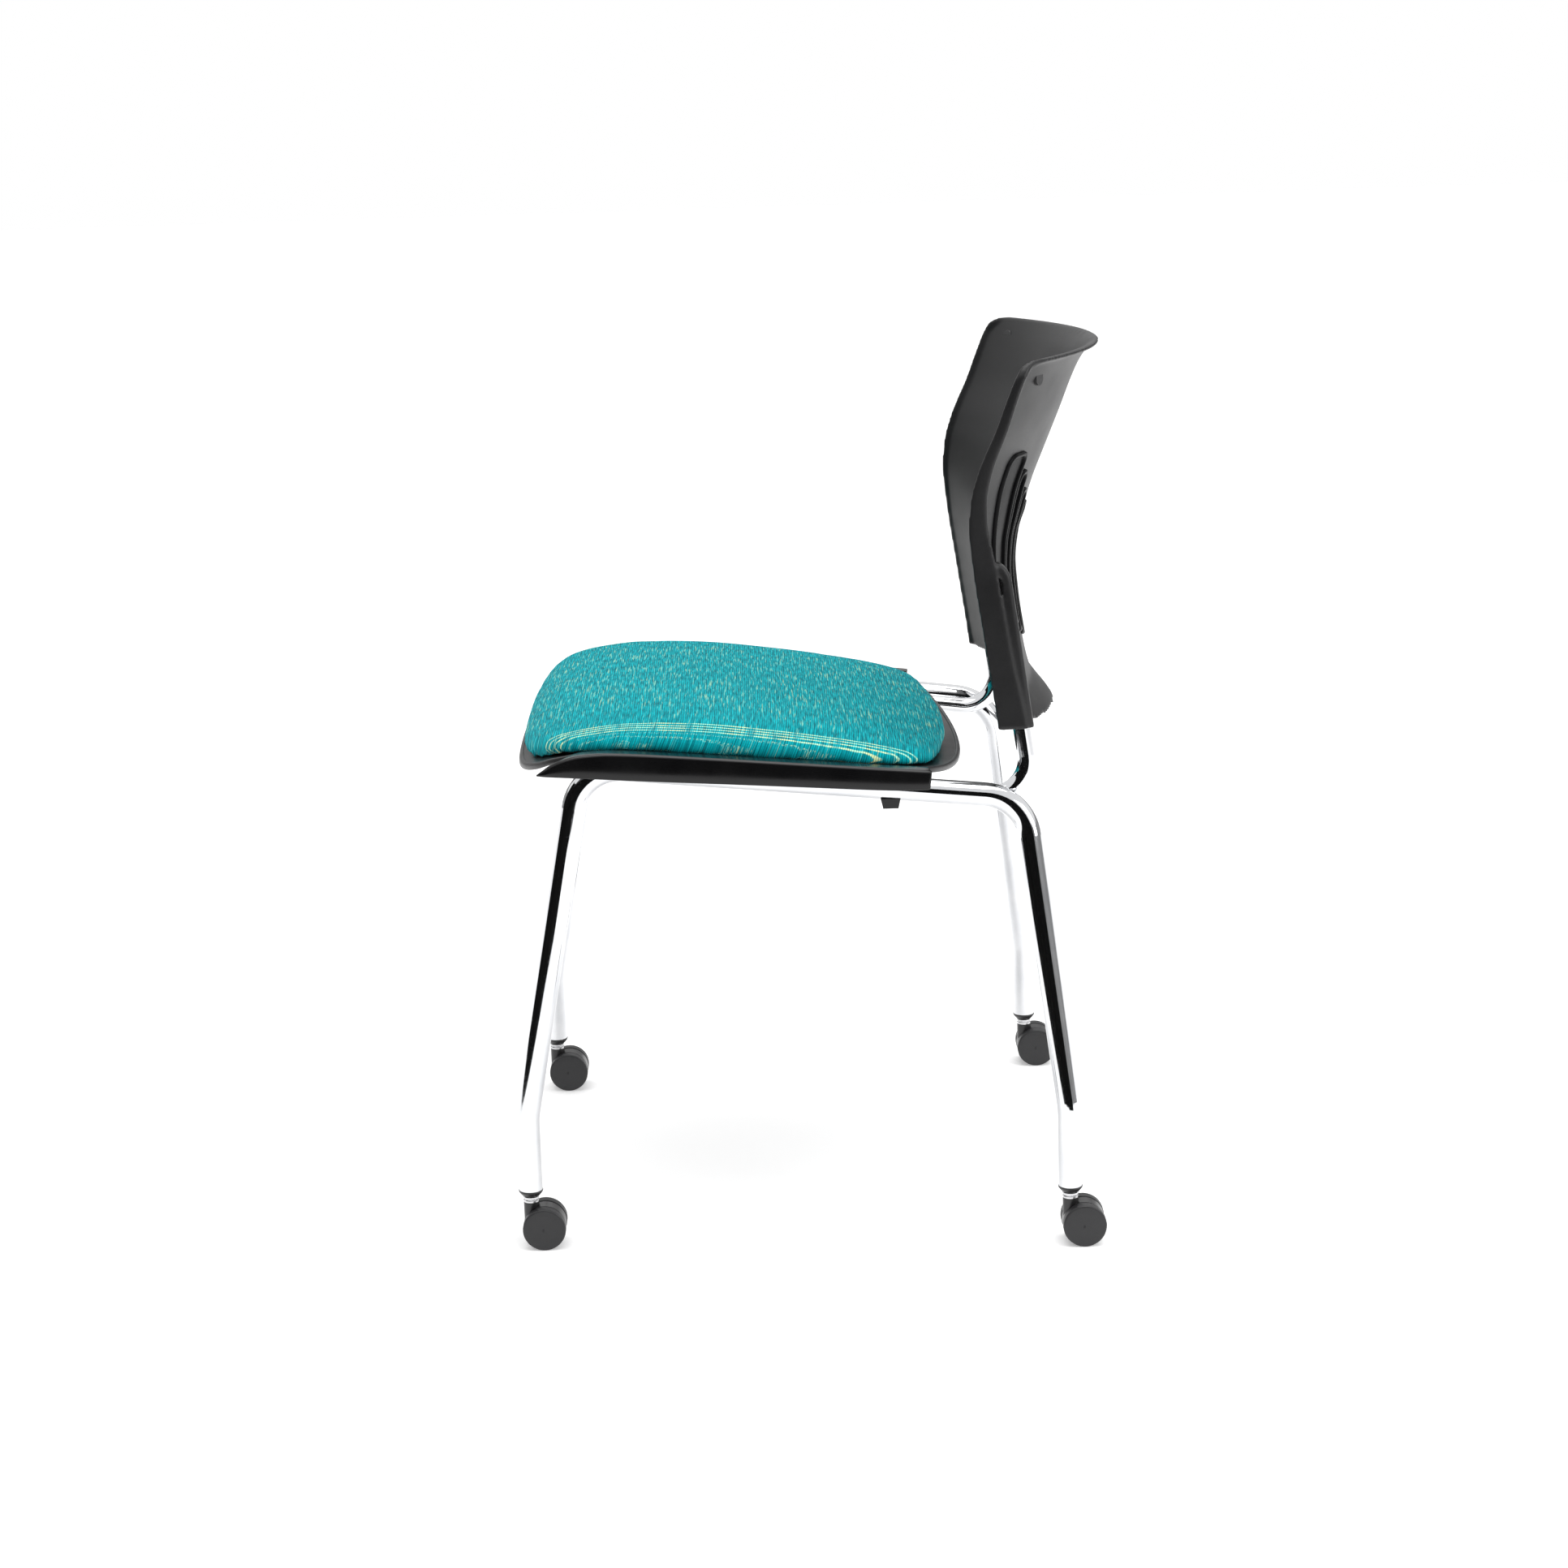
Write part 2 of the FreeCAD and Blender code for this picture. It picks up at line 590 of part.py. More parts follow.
def back_wall(off_out, off_in, half, z0, z1):
    """Curved wall between two offsets of the rear face."""
    def face(off):
        rows = []
        for i in range(21):
            x = -half + 2 * half * i / 20
            rows.append([V(x, back_rear(x, z0 + (z1 - z0) * j / 36) + off, z0 + (z1 - z0) * j / 36)
                         for j in range(37)])
        s = Part.BSplineSurface()
        s.interpolate(rows)
        return s.toShape()
    return outward(face(off_in).extrude(V(0, off_out - off_in, 0)))


def rounded_outline(half, z0, z1, r_top, r_low, dip):
    """Front view outline of the back with rounded corners and a bowed lower edge."""
    a = half
    e = []
    e.append(Part.Arc(V(-a, 0, z0), V(0, 0, z0 - dip), V(a, 0, z0)).toShape())
    e.append(Part.LineSegment(V(a, 0, z0), V(a, 0, z1 - r_top)).toShape())
    k = r_top * (1 - math.sqrt(0.5))
    e.append(Part.Arc(V(a, 0, z1 - r_top), V(a - k, 0, z1 - k), V(a - r_top, 0, z1)).toShape())
    e.append(Part.LineSegment(V(a - r_top, 0, z1), V(-a + r_top, 0, z1)).toShape())
    e.append(Part.Arc(V(-a + r_top, 0, z1), V(-a + k, 0, z1 - k), V(-a, 0, z1 - r_top)).toShape())
    e.append(Part.LineSegment(V(-a, 0, z1 - r_top), V(-a, 0, z0)).toShape())
    w = Part.Wire(e)
    f = Part.Face(w)
    f.translate(V(0, 100, 0))
    return outward(f.extrude(V(0, 260, 0)))


half = val("back_half")
wall = back_wall(0.0, -val("back_wall"), half, 445.0, 806.0)


def side_member(sx):
    pts_f = [V(0, lin(BACK_Z, BACK_F, z), z) for z in BACK_Z[1:]]
    pts_r = [V(0, lin(BACK_Z, BACK_F, z) + lin(BACK_Z, BACK_D, z), z) for z in BACK_Z[1:]]
    cf, cr = Part.BSplineCurve(), Part.BSplineCurve()
    cf.interpolate(pts_f)
    cr.interpolate(pts_r)
    w = Part.Wire([cf.toShape(), Part.LineSegment(pts_f[-1], pts_r[-1]).toShape(), cr.toShape(),
                   Part.LineSegment(pts_r[0], pts_f[0]).toShape()])
    f = Part.Face(w)
    t = val("back_side")
    f.translate(V(half - t if sx > 0 else -half, 0, 0))
    return outward(f.extrude(V(t, 0, 0)))


def boss(sx, dia, z_low, z_high, tip):
    p0, p1 = support_solid["right" if sx > 0 else "left"][1][1:3]
    d = (p1 - p0).normalize()
    a = p0 + d * ((z_low - p0.z) / d.z)
    b = p0 + d * ((z_high - p0.z) / d.z)
    c = Part.makeCylinder(dia / 2, (b - a).Length, a, d)
    if tip:
        c = c.fuse(Part.makeSphere(dia / 2, b))
    return c


back = wall
for sx in (-1, 1):
    back = back.fuse(side_member(sx))
ol = rounded_outline(half + 0.5, 471.0, 805.9, 18.0, 8.0, 12.0)
back = back.common(ol)
for sx in (-1, 1):
    b = boss(sx, val("boss_od"), 473.0, 616.0, True)
    b = b.common(Part.makeBox(2 * half, 400, 500, V(-half, 0, 471)))
    back = back.fuse(b)
for sx in (-1, 1):
    back = back.cut(boss(sx, val("boss_bore"), 440.0, 614.0, False))

# grille slots, shorter and lower towards the middle
SLOTS = []
tops = [638.0, 641.0, 647.0, 657.0, 672.0, 692.0, 712.0]
lows = [527.0, 529.0, 534.0, 541.0, 552.0, 572.0, 592.0]
for k in range(7):
    for sx in ((1,) if k == 0 else (-1, 1)):
        sw = val("slot_wide") if k == 6 else val("slot_w")
        SLOTS.append((sx * (k * val("slot_pitch") + (sw - val("slot_w")) / 2), lows[k], tops[k], sw))


def slot_prism(x, z0, z1, w, r):
    """Upright slot of width w with corners of radius r."""
    h = w / 2
    k = r * (1 - math.sqrt(0.5))
    e = [Part.LineSegment(V(x - h, 0, z0 + r), V(x - h, 0, z1 - r)).toShape(),
         Part.Arc(V(x - h, 0, z1 - r), V(x - h + k, 0, z1 - k), V(x - h + r, 0, z1)).toShape()]
    if h - r > 0.01:
        e.append(Part.LineSegment(V(x - h + r, 0, z1), V(x + h - r, 0, z1)).toShape())
    e += [Part.Arc(V(x + h - r, 0, z1), V(x + h - k, 0, z1 - k), V(x + h, 0, z1 - r)).toShape(),
          Part.LineSegment(V(x + h, 0, z1 - r), V(x + h, 0, z0 + r)).toShape(),
          Part.Arc(V(x + h, 0, z0 + r), V(x + h - k, 0, z0 + k), V(x + h - r, 0, z0)).toShape()]
    if h - r > 0.01:
        e.append(Part.LineSegment(V(x + h - r, 0, z0), V(x - h + r, 0, z0)).toShape())
    e.append(Part.Arc(V(x - h + r, 0, z0), V(x - h + k, 0, z0 + k), V(x - h, 0, z0 + r)).toShape())
    f = Part.Face(Part.Wire(e))
    f.translate(V(0, 120, 0))
    return outward(f.extrude(V(0, 220, 0)))


cutters = [slot_prism(x, z0, z1, sw, val("slot_w") / 2) for x, z0, z1, sw in SLOTS]
tool = cutters[0]
tool = tool.fuse(cutters[1:])
back = back.cut(tool.common(back_wall(14.0, -val("slot_depth"), 180.0, 480.0, 760.0)))
node(feature("back_shell", back.removeSplitter()), "back_shell")

# grille: rims around every slot, joined into one insert
band = back_wall(val("grille_t"), 0.1, 174.0, 500.0, 740.0)
rims = [slot_prism(x, z0 - 4.9, z1 + 4.9, sw + val("slot_pitch") - val("slot_w") + 0.6, 12.0)
        for x, z0, z1, sw in SLOTS]
rim = rims[0].fuse(rims[1:])
grille = band.common(rim).cut(tool)
node(feature("lumbar_grille", grille), "lumbar_grille")

# plug caps near the upper corners
for side, sx in (("left", -1), ("right", 1)):
    x, z = sx * 176.0, 787.0
    y = back_rear(x, z)
    slope = math.degrees(math.atan2(2 * (lin(BACK_Z, BACK_R, z) - lin(BACK_Z, BACK_F, z) - BACK_S)
                                    * x / half**2, 1.0))
    b = doc.addObject("Part::Cylinder", side + "_plug_cap")
    bind(b, Radius=D["plug_dia"] / 2, Height=D["plug_t"])
    rot = Rotation(V(0, 0, 1), -slope).multiply(Rotation(V(1, 0, 0), -90))
    n = rot.multVec(V(0, 0, 1))
    b.Placement = Placement(V(x, y, z) - n * (val("plug_t") - 1.0), rot)
    node(b, side + "_plug_cap")

# back screws, one through the inner face of each pocket into the tube
bs = []
for sx in (-1, 1):
    p0, p1 = support_solid["right" if sx > 0 else "left"][1][1:3]
    d = (p1 - p0).normalize()
    c = p0 + d * ((520.0 - p0.z) / d.z)
    turn = Rotation(V(0, 1, 0), 90 * sx)
    shank = cylinder("back_screw_shank_%d" % (sx + 1), 4.0, 12.0, (c.x - 13.5 * sx, c.y, c.z), turn)
    head = cylinder("back_screw_head_%d" % (sx + 1), 8.0, 2.4, (c.x - 13.9 * sx, c.y, c.z), turn)
    bs.append(fuse("back_screw_%d" % (sx + 1), shank, head))
group = doc.addObject("Part::Compound", "back_screws")
group.Links = bs
node(group, "back_screws")

# ---------------------------------------------------------------- casters
CASTERS = [
    ("front_left", -D["front_leg_x"], D["front_leg_y"]),
    ("front_right", D["front_leg_x"], D["front_leg_y"]),
    ("rear_left", -D["rear_leg_x"], D["rear_leg_y"]),
    ("rear_right", D["rear_leg_x"], D["rear_leg_y"]),
]
R90 = Rotation(V(0, 1, 0), 90)
for tag, cx, cy in CASTERS:
    hub = D["wheel_dia"] / 2
    # socket in the leg
    r_b, r_n, r_f, r_p = (D[k] / 2 for k in ("socket_bore", "socket_nose", "socket_flange", "socket_plug"))
    base, rim_z = D["socket_base"], D["leg_end"]
    revolved(tag + "_leg_socket", [
        (r_b, base), (r_n - 1.2, base), (r_n, base + 0.7), (r_f - 0.7, base + 3.2), (r_f, base + 4.4), (r_f, rim_z),
        (r_p, rim_z), (r_p, rim_z + D["socket_depth"] - 1.0), (r_p - 1.0, rim_z + D["socket_depth"]),
        (r_b, rim_z + D["socket_depth"])], xyz=(cx, cy, 0))
    # stem with its collar
    r_s, r_c = D["stem_dia"] / 2, D["collar_dia"] / 2
    nt, ct, st = D["neck_top"], D["collar_top"], D["stem_top"]
    revolved(tag + "_caster_stem", [
        (0, D["stem_base"]), (r_s, D["stem_base"]), (r_s, nt), (r_c - 0.5, nt), (r_c, nt + 0.6), (r_c, nt + 2.2),
        (r_c - 0.9, nt + 2.9), (r_c - 0.9, nt + 3.4), (r_c, nt + 4.1), (r_c, ct - 0.6), (r_c - 0.6, ct), (r_s, ct),
        (r_s, st - 9.0), (r_s - 0.6, st - 8.4), (r_s - 0.6, st - 5.6), (r_s, st - 5.0), (r_s, st - 1.0),
        (r_s - 1.0, st), (0, st)], xyz=(cx, cy, 0))
    # hood: disc between the wheels, neck for the stem
    disc = cylinder(tag + "_hood_disc", D["hood_dia"], D["hood_width"], (cx - D["hood_width"] / 2, cy + D["trail"], hub),
                    R90)
    neck = cylinder(tag + "_hood_neck", D["neck_dia"], D["neck_top"] - D["neck_base"], (cx, cy, D["neck_base"]))
    body = fuse(tag + "_hood_body", disc, neck)
    low = doc.addObject("Part::Box", tag + "_hood_relief")
    bind(low, Length=Dim.of(60), Width=Dim.of(60), Height=D["hood_cut"])
    at(low, cx - 30, cy - 20, 0)
    bore = cylinder(tag + "_hood_bore", D["stem_dia"], 40.0, (cx, cy, D["stem_base"]))
    axle_hole = cylinder(tag + "_hood_axle_hole", D["axle_dia"], 40.0, (cx - 20, cy + D["trail"], hub), R90)
    hood = cut(tag + "_caster_hood", body, fuse(tag + "_hood_voids", low, bore, axle_hole))
    node(hood, tag + "_caster_hood")
    # axle
    revolved(tag + "_caster_axle", [
        (0, -D["axle_len"] / 2), (D["axle_dia"] / 2 - 0.4, -D["axle_len"] / 2),
        (D["axle_dia"] / 2, -D["axle_len"] / 2 + 0.4), (D["axle_dia"] / 2, D["axle_len"] / 2 - 0.4),
        (D["axle_dia"] / 2 - 0.4, D["axle_len"] / 2), (0, D["axle_len"] / 2)],
        rot=R90, xyz=(cx, cy + D["trail"], hub))
    # wheels: bore open to the inside only, rounded tread edges, slightly domed outer face
    ww, wi, wr, wb = D["wheel_width"], D["wheel_inner"], D["wheel_dia"] / 2, D["wheel_bore"] / 2
    for wtag, rot in (("left", Rotation(V(0, 1, 0), -90)), ("right", R90)):
        o = wi + ww
        revolved("%s_%s_wheel" % (tag, wtag), [
            (wb, wi), (wr - 0.8, wi), (wr - 0.2, wi + 0.3), (wr, wi + 0.9), (wr, o - 2.0), (wr - 0.25, o - 1.2),
            (wr - 0.8, o - 0.6), (wr - 1.6, o - 0.35), (wr - 6.0, o - 0.12), (0, o), (0, wi + 8.2), (wb, wi + 8.2)],
            rot=rot, xyz=(cx, cy + D["trail"], hub))

doc.recompute()

# ---------------------------------------------------------------- checks and output
bad = []
for o in doc.Objects:
    if any(s in ("Invalid", "Error") for s in o.State):
        bad.append("%s: %s" % (o.Name, ",".join(o.State)))
for name, o in NODES.items():
    s = o.Shape
    if s.isNull() or not s.isValid() or not s.Solids:
        bad.append("%s: shape null=%s" % (name, s.isNull()))
if bad:
    raise SystemExit("failed objects:\n" + "\n".join(bad))

box = FreeCAD.BoundBox()
for name, o in sorted(NODES.items()):
    b = o.Shape.BoundBox
    box.add(b)
    print("%-28s solids %d vol %9.1f  x %7.1f %7.1f  y %7.1f %7.1f  z %6.1f %6.1f" % (
        name, len(o.Shape.Solids), o.Shape.Volume, b.XMin, b.XMax, b.YMin, b.YMax, b.ZMin, b.ZMax))
    o.Shape.exportStep("parts/%s.step" % name)
print("nodes", len(NODES), "box", box)
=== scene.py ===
import math
import bpy
import bmesh
import numpy as np
from mathutils import Matrix, Vector


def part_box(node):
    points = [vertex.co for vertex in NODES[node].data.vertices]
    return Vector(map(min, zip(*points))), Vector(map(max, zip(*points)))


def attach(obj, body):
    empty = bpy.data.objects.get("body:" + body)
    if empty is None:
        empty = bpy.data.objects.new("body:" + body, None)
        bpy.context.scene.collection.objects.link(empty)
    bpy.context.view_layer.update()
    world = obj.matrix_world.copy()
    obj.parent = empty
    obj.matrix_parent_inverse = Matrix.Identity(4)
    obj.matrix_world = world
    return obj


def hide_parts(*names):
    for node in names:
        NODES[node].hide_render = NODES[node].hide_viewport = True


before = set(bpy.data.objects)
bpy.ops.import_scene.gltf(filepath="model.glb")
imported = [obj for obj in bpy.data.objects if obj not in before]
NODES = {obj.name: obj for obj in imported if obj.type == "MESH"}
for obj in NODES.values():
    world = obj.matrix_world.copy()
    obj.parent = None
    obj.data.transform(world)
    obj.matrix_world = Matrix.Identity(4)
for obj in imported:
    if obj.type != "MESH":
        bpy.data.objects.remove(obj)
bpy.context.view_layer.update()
MM = 0.001

# ------------------------------------------------------------------ camera
pitch, yaw, roll = math.radians(13.38), math.radians(0.30), math.radians(-1.75)
fwd = Vector((-math.cos(pitch) * math.cos(yaw), math.cos(pitch) * math.sin(yaw), -math.sin(pitch)))
right = fwd.cross(Vector((0, 0, 1))).normalized()
up = right.cross(fwd)
cam_x = right * math.cos(roll) + up * math.sin(roll)
cam_y = -right * math.sin(roll) + up * math.cos(roll)
cam = bpy.data.objects.new("camera", bpy.data.cameras.new("camera"))
cam.data.lens, cam.data.sensor_width = 78.60, 36.0
cam.data.clip_start, cam.data.clip_end = 0.05, 100.0
cam.matrix_world = Matrix((
    (cam_x[0], cam_y[0], -fwd[0], 3.2446),
    (cam_x[1], cam_y[1], -fwd[1], -0.0410),
    (cam_x[2], cam_y[2], -fwd[2], 1.1500),
    (0, 0, 0, 1)))
bpy.context.scene.collection.objects.link(cam)
bpy.context.scene.camera = cam
bpy.context.scene.view_settings.view_transform = "Standard"


# ------------------------------------------------------------------ helpers
def curve(xs, ys):
    """Smooth monotone interpolation through the stations."""
    xs, ys = np.array(xs, float), np.array(ys, float)
    d = np.diff(ys) / np.diff(xs)
    m = np.empty_like(xs)
    m[0], m[-1] = d[0], d[-1]
    p, s = d[:-1] * d[1:], d[:-1] + d[1:]
    m[1:-1] = np.where(p <= 0, 0.0, 2 * p / np.where(np.abs(s) < 1e-12, 1.0, s))

    def f(x):
        x = np.clip(np.asarray(x, float), xs[0], xs[-1])
        i = np.clip(np.searchsorted(xs, x, side="right") - 1, 0, len(xs) - 2)
        w = xs[i + 1] - xs[i]
        t = (x - xs[i]) / w
        return ((2 * t**3 - 3 * t**2 + 1) * ys[i] + (t**3 - 2 * t**2 + t) * w * m[i]
                + (-2 * t**3 + 3 * t**2) * ys[i + 1] + (t**3 - t**2) * w * m[i + 1])
    return f


def smooth(t):
    t = np.clip(t, 0.0, 1.0)
    return t * t * (3 - 2 * t)


def mesh_object(name, verts, faces):
    """Object from points in millimetres."""
    me = bpy.data.meshes.new(name)
    me.from_pydata((np.asarray(verts, float) * MM).tolist(), [], [tuple(f) for f in faces])
    me.validate()
    o = bpy.data.objects.new(name, me)
    bpy.context.scene.collection.objects.link(o)
    fix_normals(o)
    return o


def fix_normals(o):
    bm = bmesh.new()
    bm.from_mesh(o.data)
    bmesh.ops.recalc_face_normals(bm, faces=bm.faces)
    if bm.calc_volume(signed=True) < 0:
        bmesh.ops.reverse_faces(bm, faces=bm.faces)
    bm.to_mesh(o.data)
    bm.free()


def loft(sections, closed=False, caps=True):
    """Quads between sections of equal length; every section is a closed loop."""
    n, m = len(sections), len(sections[0])
    verts = np.concatenate([np.asarray(s, float) for s in sections])
    faces = []
    for i in range(n if closed else n - 1):
        a, b = i * m, ((i + 1) % n) * m
        for j in range(m):
            k = (j + 1) % m
            faces.append((a + j, a + k, b + k, b + j))
    if not closed and caps:
        faces.append(tuple(range(m - 1, -1, -1)))
        faces.append(tuple(range((n - 1) * m, n * m)))
    return verts, faces


def join(parts):
    verts, faces, base = [], [], 0
    for v, f in parts:
        verts.append(np.asarray(v, float))
        faces += [tuple(i + base for i in q) for q in f]
        base += len(v)
    return np.concatenate(verts), faces


def bake(o):
    """Applies the modifiers."""
    bpy.context.view_layer.update()
    dg = bpy.context.evaluated_depsgraph_get()
    me = bpy.data.meshes.new_from_object(o.evaluated_get(dg))
    o.modifiers.clear()
    old, o.data = o.data, me
    bpy.data.meshes.remove(old)
    return o


def subtract(o, cutters):
    for c in cutters:
        mod = o.modifiers.new("cut", "BOOLEAN")
        mod.operation, mod.solver, mod.object = "DIFFERENCE", "EXACT", c
    bake(o)
    for c in cutters:
        bpy.data.objects.remove(c)
    return o


def remesh(o, voxel, rounds=3, factor=0.5):
    mod = o.modifiers.new("remesh", "REMESH")
    mod.mode, mod.voxel_size, mod.adaptivity = "VOXEL", voxel * MM, 0.0
    if rounds:
        sm = o.modifiers.new("soften", "SMOOTH")
        sm.factor, sm.iterations = factor, rounds
    bake(o)
    return o


def coords(o):
    a = np.zeros(len(o.data.vertices) * 3)
    o.data.vertices.foreach_get("co", a)
    return a.reshape(-1, 3)


def set_coords(o, a):
    o.data.vertices.foreach_set("co", np.ascontiguousarray(a, dtype=np.float32).ravel())
    o.data.update()


def shade(o, angle=None):
    o.data.polygons.foreach_set("use_smooth", np.ones(len(o.data.polygons), bool))
    if angle is not None:
        o.data.set_sharp_from_angle(angle=math.radians(angle))
    o.data.update()


def finish_piece(o, mat, nodes, body="chair", angle=None):
    shade(o, angle)
    o.data.materials.clear()
    o.data.materials.append(mat)
    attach(o, body)
    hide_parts(*nodes)
    return o


# ------------------------------------------------------------------ materials
def material(name, base, rough, metallic=0.0, **sockets):
    m = bpy.data.materials.new(name)
    m.use_nodes = True
    nt = m.node_tree
    b = nt.nodes["Principled BSDF"]
    b.inputs["Base Color"].default_value = (*base, 1)
    b.inputs["Roughness"].default_value = rough
    b.inputs["Metallic"].default_value = metallic
    for k, v in sockets.items():
        b.inputs[k.replace("_", " ")].default_value = v
    return m, nt, b


def node(nt, kind, inputs=None, **props):
    n = nt.nodes.new(kind)
    for k, v in props.items():
        setattr(n, k, v)
    for k, v in (inputs or {}).items():
        if hasattr(v, "is_output") or isinstance(v, bpy.types.NodeSocket):
            nt.links.new(v, n.inputs[k])
        else:
            n.inputs[k].default_value = v
    return n


def maths(nt, op, a, b=None, c=None, clamp=False):
    ins = {0: a}
    if b is not None:
        ins[1] = b
    if c is not None:
        ins[2] = c
    return node(nt, "ShaderNodeMath", ins, operation=op, use_clamp=clamp).outputs[0]


def ramp(nt, fac, stops, interpolation="LINEAR"):
    n = node(nt, "ShaderNodeValToRGB", {0: fac})
    n.color_ramp.interpolation = interpolation
    e = n.color_ramp.elements
    while len(e) < len(stops):
        e.new(0.5)
    for k, (p, c) in enumerate(stops):
        e[k].position = p
        e[k].color = (*c, 1) if isinstance(c, (tuple, list)) else (c, c, c, 1)
    return n.outputs[0]


def noise(nt, scale, detail=3.0, rough=0.5, stretch=(1, 1, 1), vector=None):
    if vector is None:
        vector = node(nt, "ShaderNodeTexCoord").outputs["Object"]
    mp = node(nt, "ShaderNodeMapping", {"Vector": vector, "Scale": Vector(stretch)})
    return node(nt, "ShaderNodeTexNoise",
                {"Vector": mp.outputs[0], "Scale": scale, "Detail": detail, "Roughness": rough}).outputs[0]


def map_range(nt, v, a, b, c, d):
    return node(nt, "ShaderNodeMapRange", {0: v, 1: a, 2: b, 3: c, 4: d}).outputs[0]


def bump(nt, b, height, distance, strength=1.0, normal=None):
    ins = {"Height": height, "Distance": distance, "Strength": strength}
    if normal is not None:
        ins["Normal"] = normal
    n = node(nt, "ShaderNodeBump", ins)
    nt.links.new(n.outputs[0], b.inputs["Normal"])
    return n.outputs[0]


def metal(name, dark, light, r0, r1, scale=40.0, stretch=(1, 1, 1), scratch=0.000004):
    m, nt, b = material(name, light, r0, 1.0)
    n = noise(nt, scale, 4.0, 0.6, stretch)
    nt.links.new(ramp(nt, n, [(0.3, dark), (0.7, light)]), b.inputs["Base Color"])
    fine = noise(nt, scale * 12, 3.0, 0.6, stretch)
    nt.links.new(map_range(nt, fine, 0.3, 0.75, r0, r1), b.inputs["Roughness"])
    bump(nt, b, fine, scratch, 0.4)
    return m


def plastic(name, dark, light, r0, r1, grain, depth, blot=14.0, coat=0.0, spec=0.5):
    """Moulded plastic: slow tone change, fine spark-eroded grain."""
    m, nt, b = material(name, light, r0, 0.0)
    b.inputs["Coat Weight"].default_value = coat
    b.inputs["Coat Roughness"].default_value = 0.06
    b.inputs["Specular IOR Level"].default_value = spec
    slow = noise(nt, blot, 3.0, 0.55)
    fine = noise(nt, grain, 2.0, 0.6)
    mix = maths(nt, "MULTIPLY_ADD", fine, 0.45, maths(nt, "MULTIPLY", slow, 0.55))
    nt.links.new(ramp(nt, mix, [(0.32, dark), (0.68, light)]), b.inputs["Base Color"])
    nt.links.new(map_range(nt, slow, 0.3, 0.7, r0, r1), b.inputs["Roughness"])
    bump(nt, b, fine, depth, 0.8)
    return m


CHROME = metal("chrome_plate", (0.64, 0.65, 0.67), (0.75, 0.755, 0.765), 0.045, 0.085, 22.0)
STEM = metal("plated_stem", (0.50, 0.50, 0.51), (0.68, 0.68, 0.69), 0.12, 0.22, 120.0)
AXLE = metal("bright_axle", (0.50, 0.50, 0.51), (0.68, 0.68, 0.69), 0.22, 0.36, 150.0)
ZINC = metal("zinc_plate", (0.52, 0.54, 0.57), (0.72, 0.73, 0.74), 0.26, 0.42, 90.0)
FRAME_STEEL = metal("bracket_steel", (0.045, 0.045, 0.048), (0.075, 0.075, 0.078), 0.34, 0.46, 80.0)
BACK = plastic("back_polypropylene", (0.0075, 0.0075, 0.008), (0.0135, 0.0135, 0.0142), 0.34, 0.44, 1500.0, 0.00010,
               spec=0.30)
SHELL = plastic("seat_polypropylene", (0.012, 0.012, 0.0125), (0.021, 0.021, 0.0217), 0.34, 0.44, 1500.0, 0.00006)
GLOSS = plastic("gloss_black_moulding", (0.0022, 0.0022, 0.0025), (0.0045, 0.0045, 0.0048), 0.16, 0.24, 900.0, 0.000012,
                blot=20.0, coat=0.05, spec=0.30)
GRILLE = plastic("grille_moulding", (0.0022, 0.0022, 0.0025), (0.0042, 0.0042, 0.0045), 0.24, 0.34, 900.0, 0.00002,
                 blot=24.0, coat=0.0, spec=0.05)
CAP = plastic("cap_plastic", (0.018, 0.018, 0.0185), (0.028, 0.028, 0.029), 0.42, 0.50, 1300.0, 0.00005)
RUBBER = plastic("bumper_rubber", (0.008, 0.008, 0.0085), (0.016, 0.016, 0.0165), 0.55, 0.68, 1100.0, 0.00006)
SOCKET = plastic("socket_nylon", (0.009, 0.009, 0.0095), (0.017, 0.017, 0.0175), 0.32, 0.42, 1300.0, 0.00003)
HOOD = plastic("hood_nylon", (0.008, 0.008, 0.0085), (0.016, 0.016, 0.0165), 0.26, 0.36, 1200.0, 0.00003)
WHEEL = plastic("wheel_nylon", (0.009, 0.009, 0.010), (0.017, 0.017, 0.0185), 0.40, 0.50, 1500.0, 0.00006, blot=60.0)

# plywood board
BOARD, nt, b = material("plywood", (0.42, 0.28, 0.15), 0.62)
wood = noise(nt, 9.0, 6.0, 0.62, (14, 1, 14))
nt.links.new(ramp(nt, wood, [(0.3, (0.30, 0.19, 0.10)), (0.7, (0.52, 0.37, 0.21))]), b.inputs["Base Color"])
bump(nt, b, wood, 0.0002, 0.5)

# woven fabric: ribs across the seat, melange flecks along them, pale stitched stripes near both sides
FABRIC, nt, b = material("woven_fabric", (0.0, 0.33, 0.37), 0.85)
b.inputs["Sheen Weight"].default_value = 0.05
b.inputs["Sheen Roughness"].default_value = 0.45
b.inputs["Sheen Tint"].default_value = (0.55, 0.95, 1.0, 1)
b.inputs["Specular IOR Level"].default_value = 0.06
cloth = node(nt, "ShaderNodeAttribute", attribute_name="weave").outputs["Vector"]
xyz = node(nt, "ShaderNodeSeparateXYZ", {0: cloth})
fx, fy = xyz.outputs[0], xyz.outputs[1]          # millimetres of fabric, across and along
PITCH, WARP = 2.0, 1.15
wob = noise(nt, 0.11, 2.0, 0.5, (0.35, 1, 1), cloth)
fyw = maths(nt, "MULTIPLY_ADD", wob, 0.9, fy)
rib = maths(nt, "SINE", maths(nt, "MULTIPLY", fyw, 2 * math.pi / PITCH))
rib01 = maths(nt, "MULTIPLY_ADD", rib, 0.5, 0.5)
warp = maths(nt, "SINE", maths(nt, "MULTIPLY", fx, 2 * math.pi / WARP))
warp01 = maths(nt, "MULTIPLY_ADD", warp, 0.5, 0.5)
yarn = noise(nt, 0.55, 2.0, 0.6, (0.10, 1.0, 1.0), cloth)
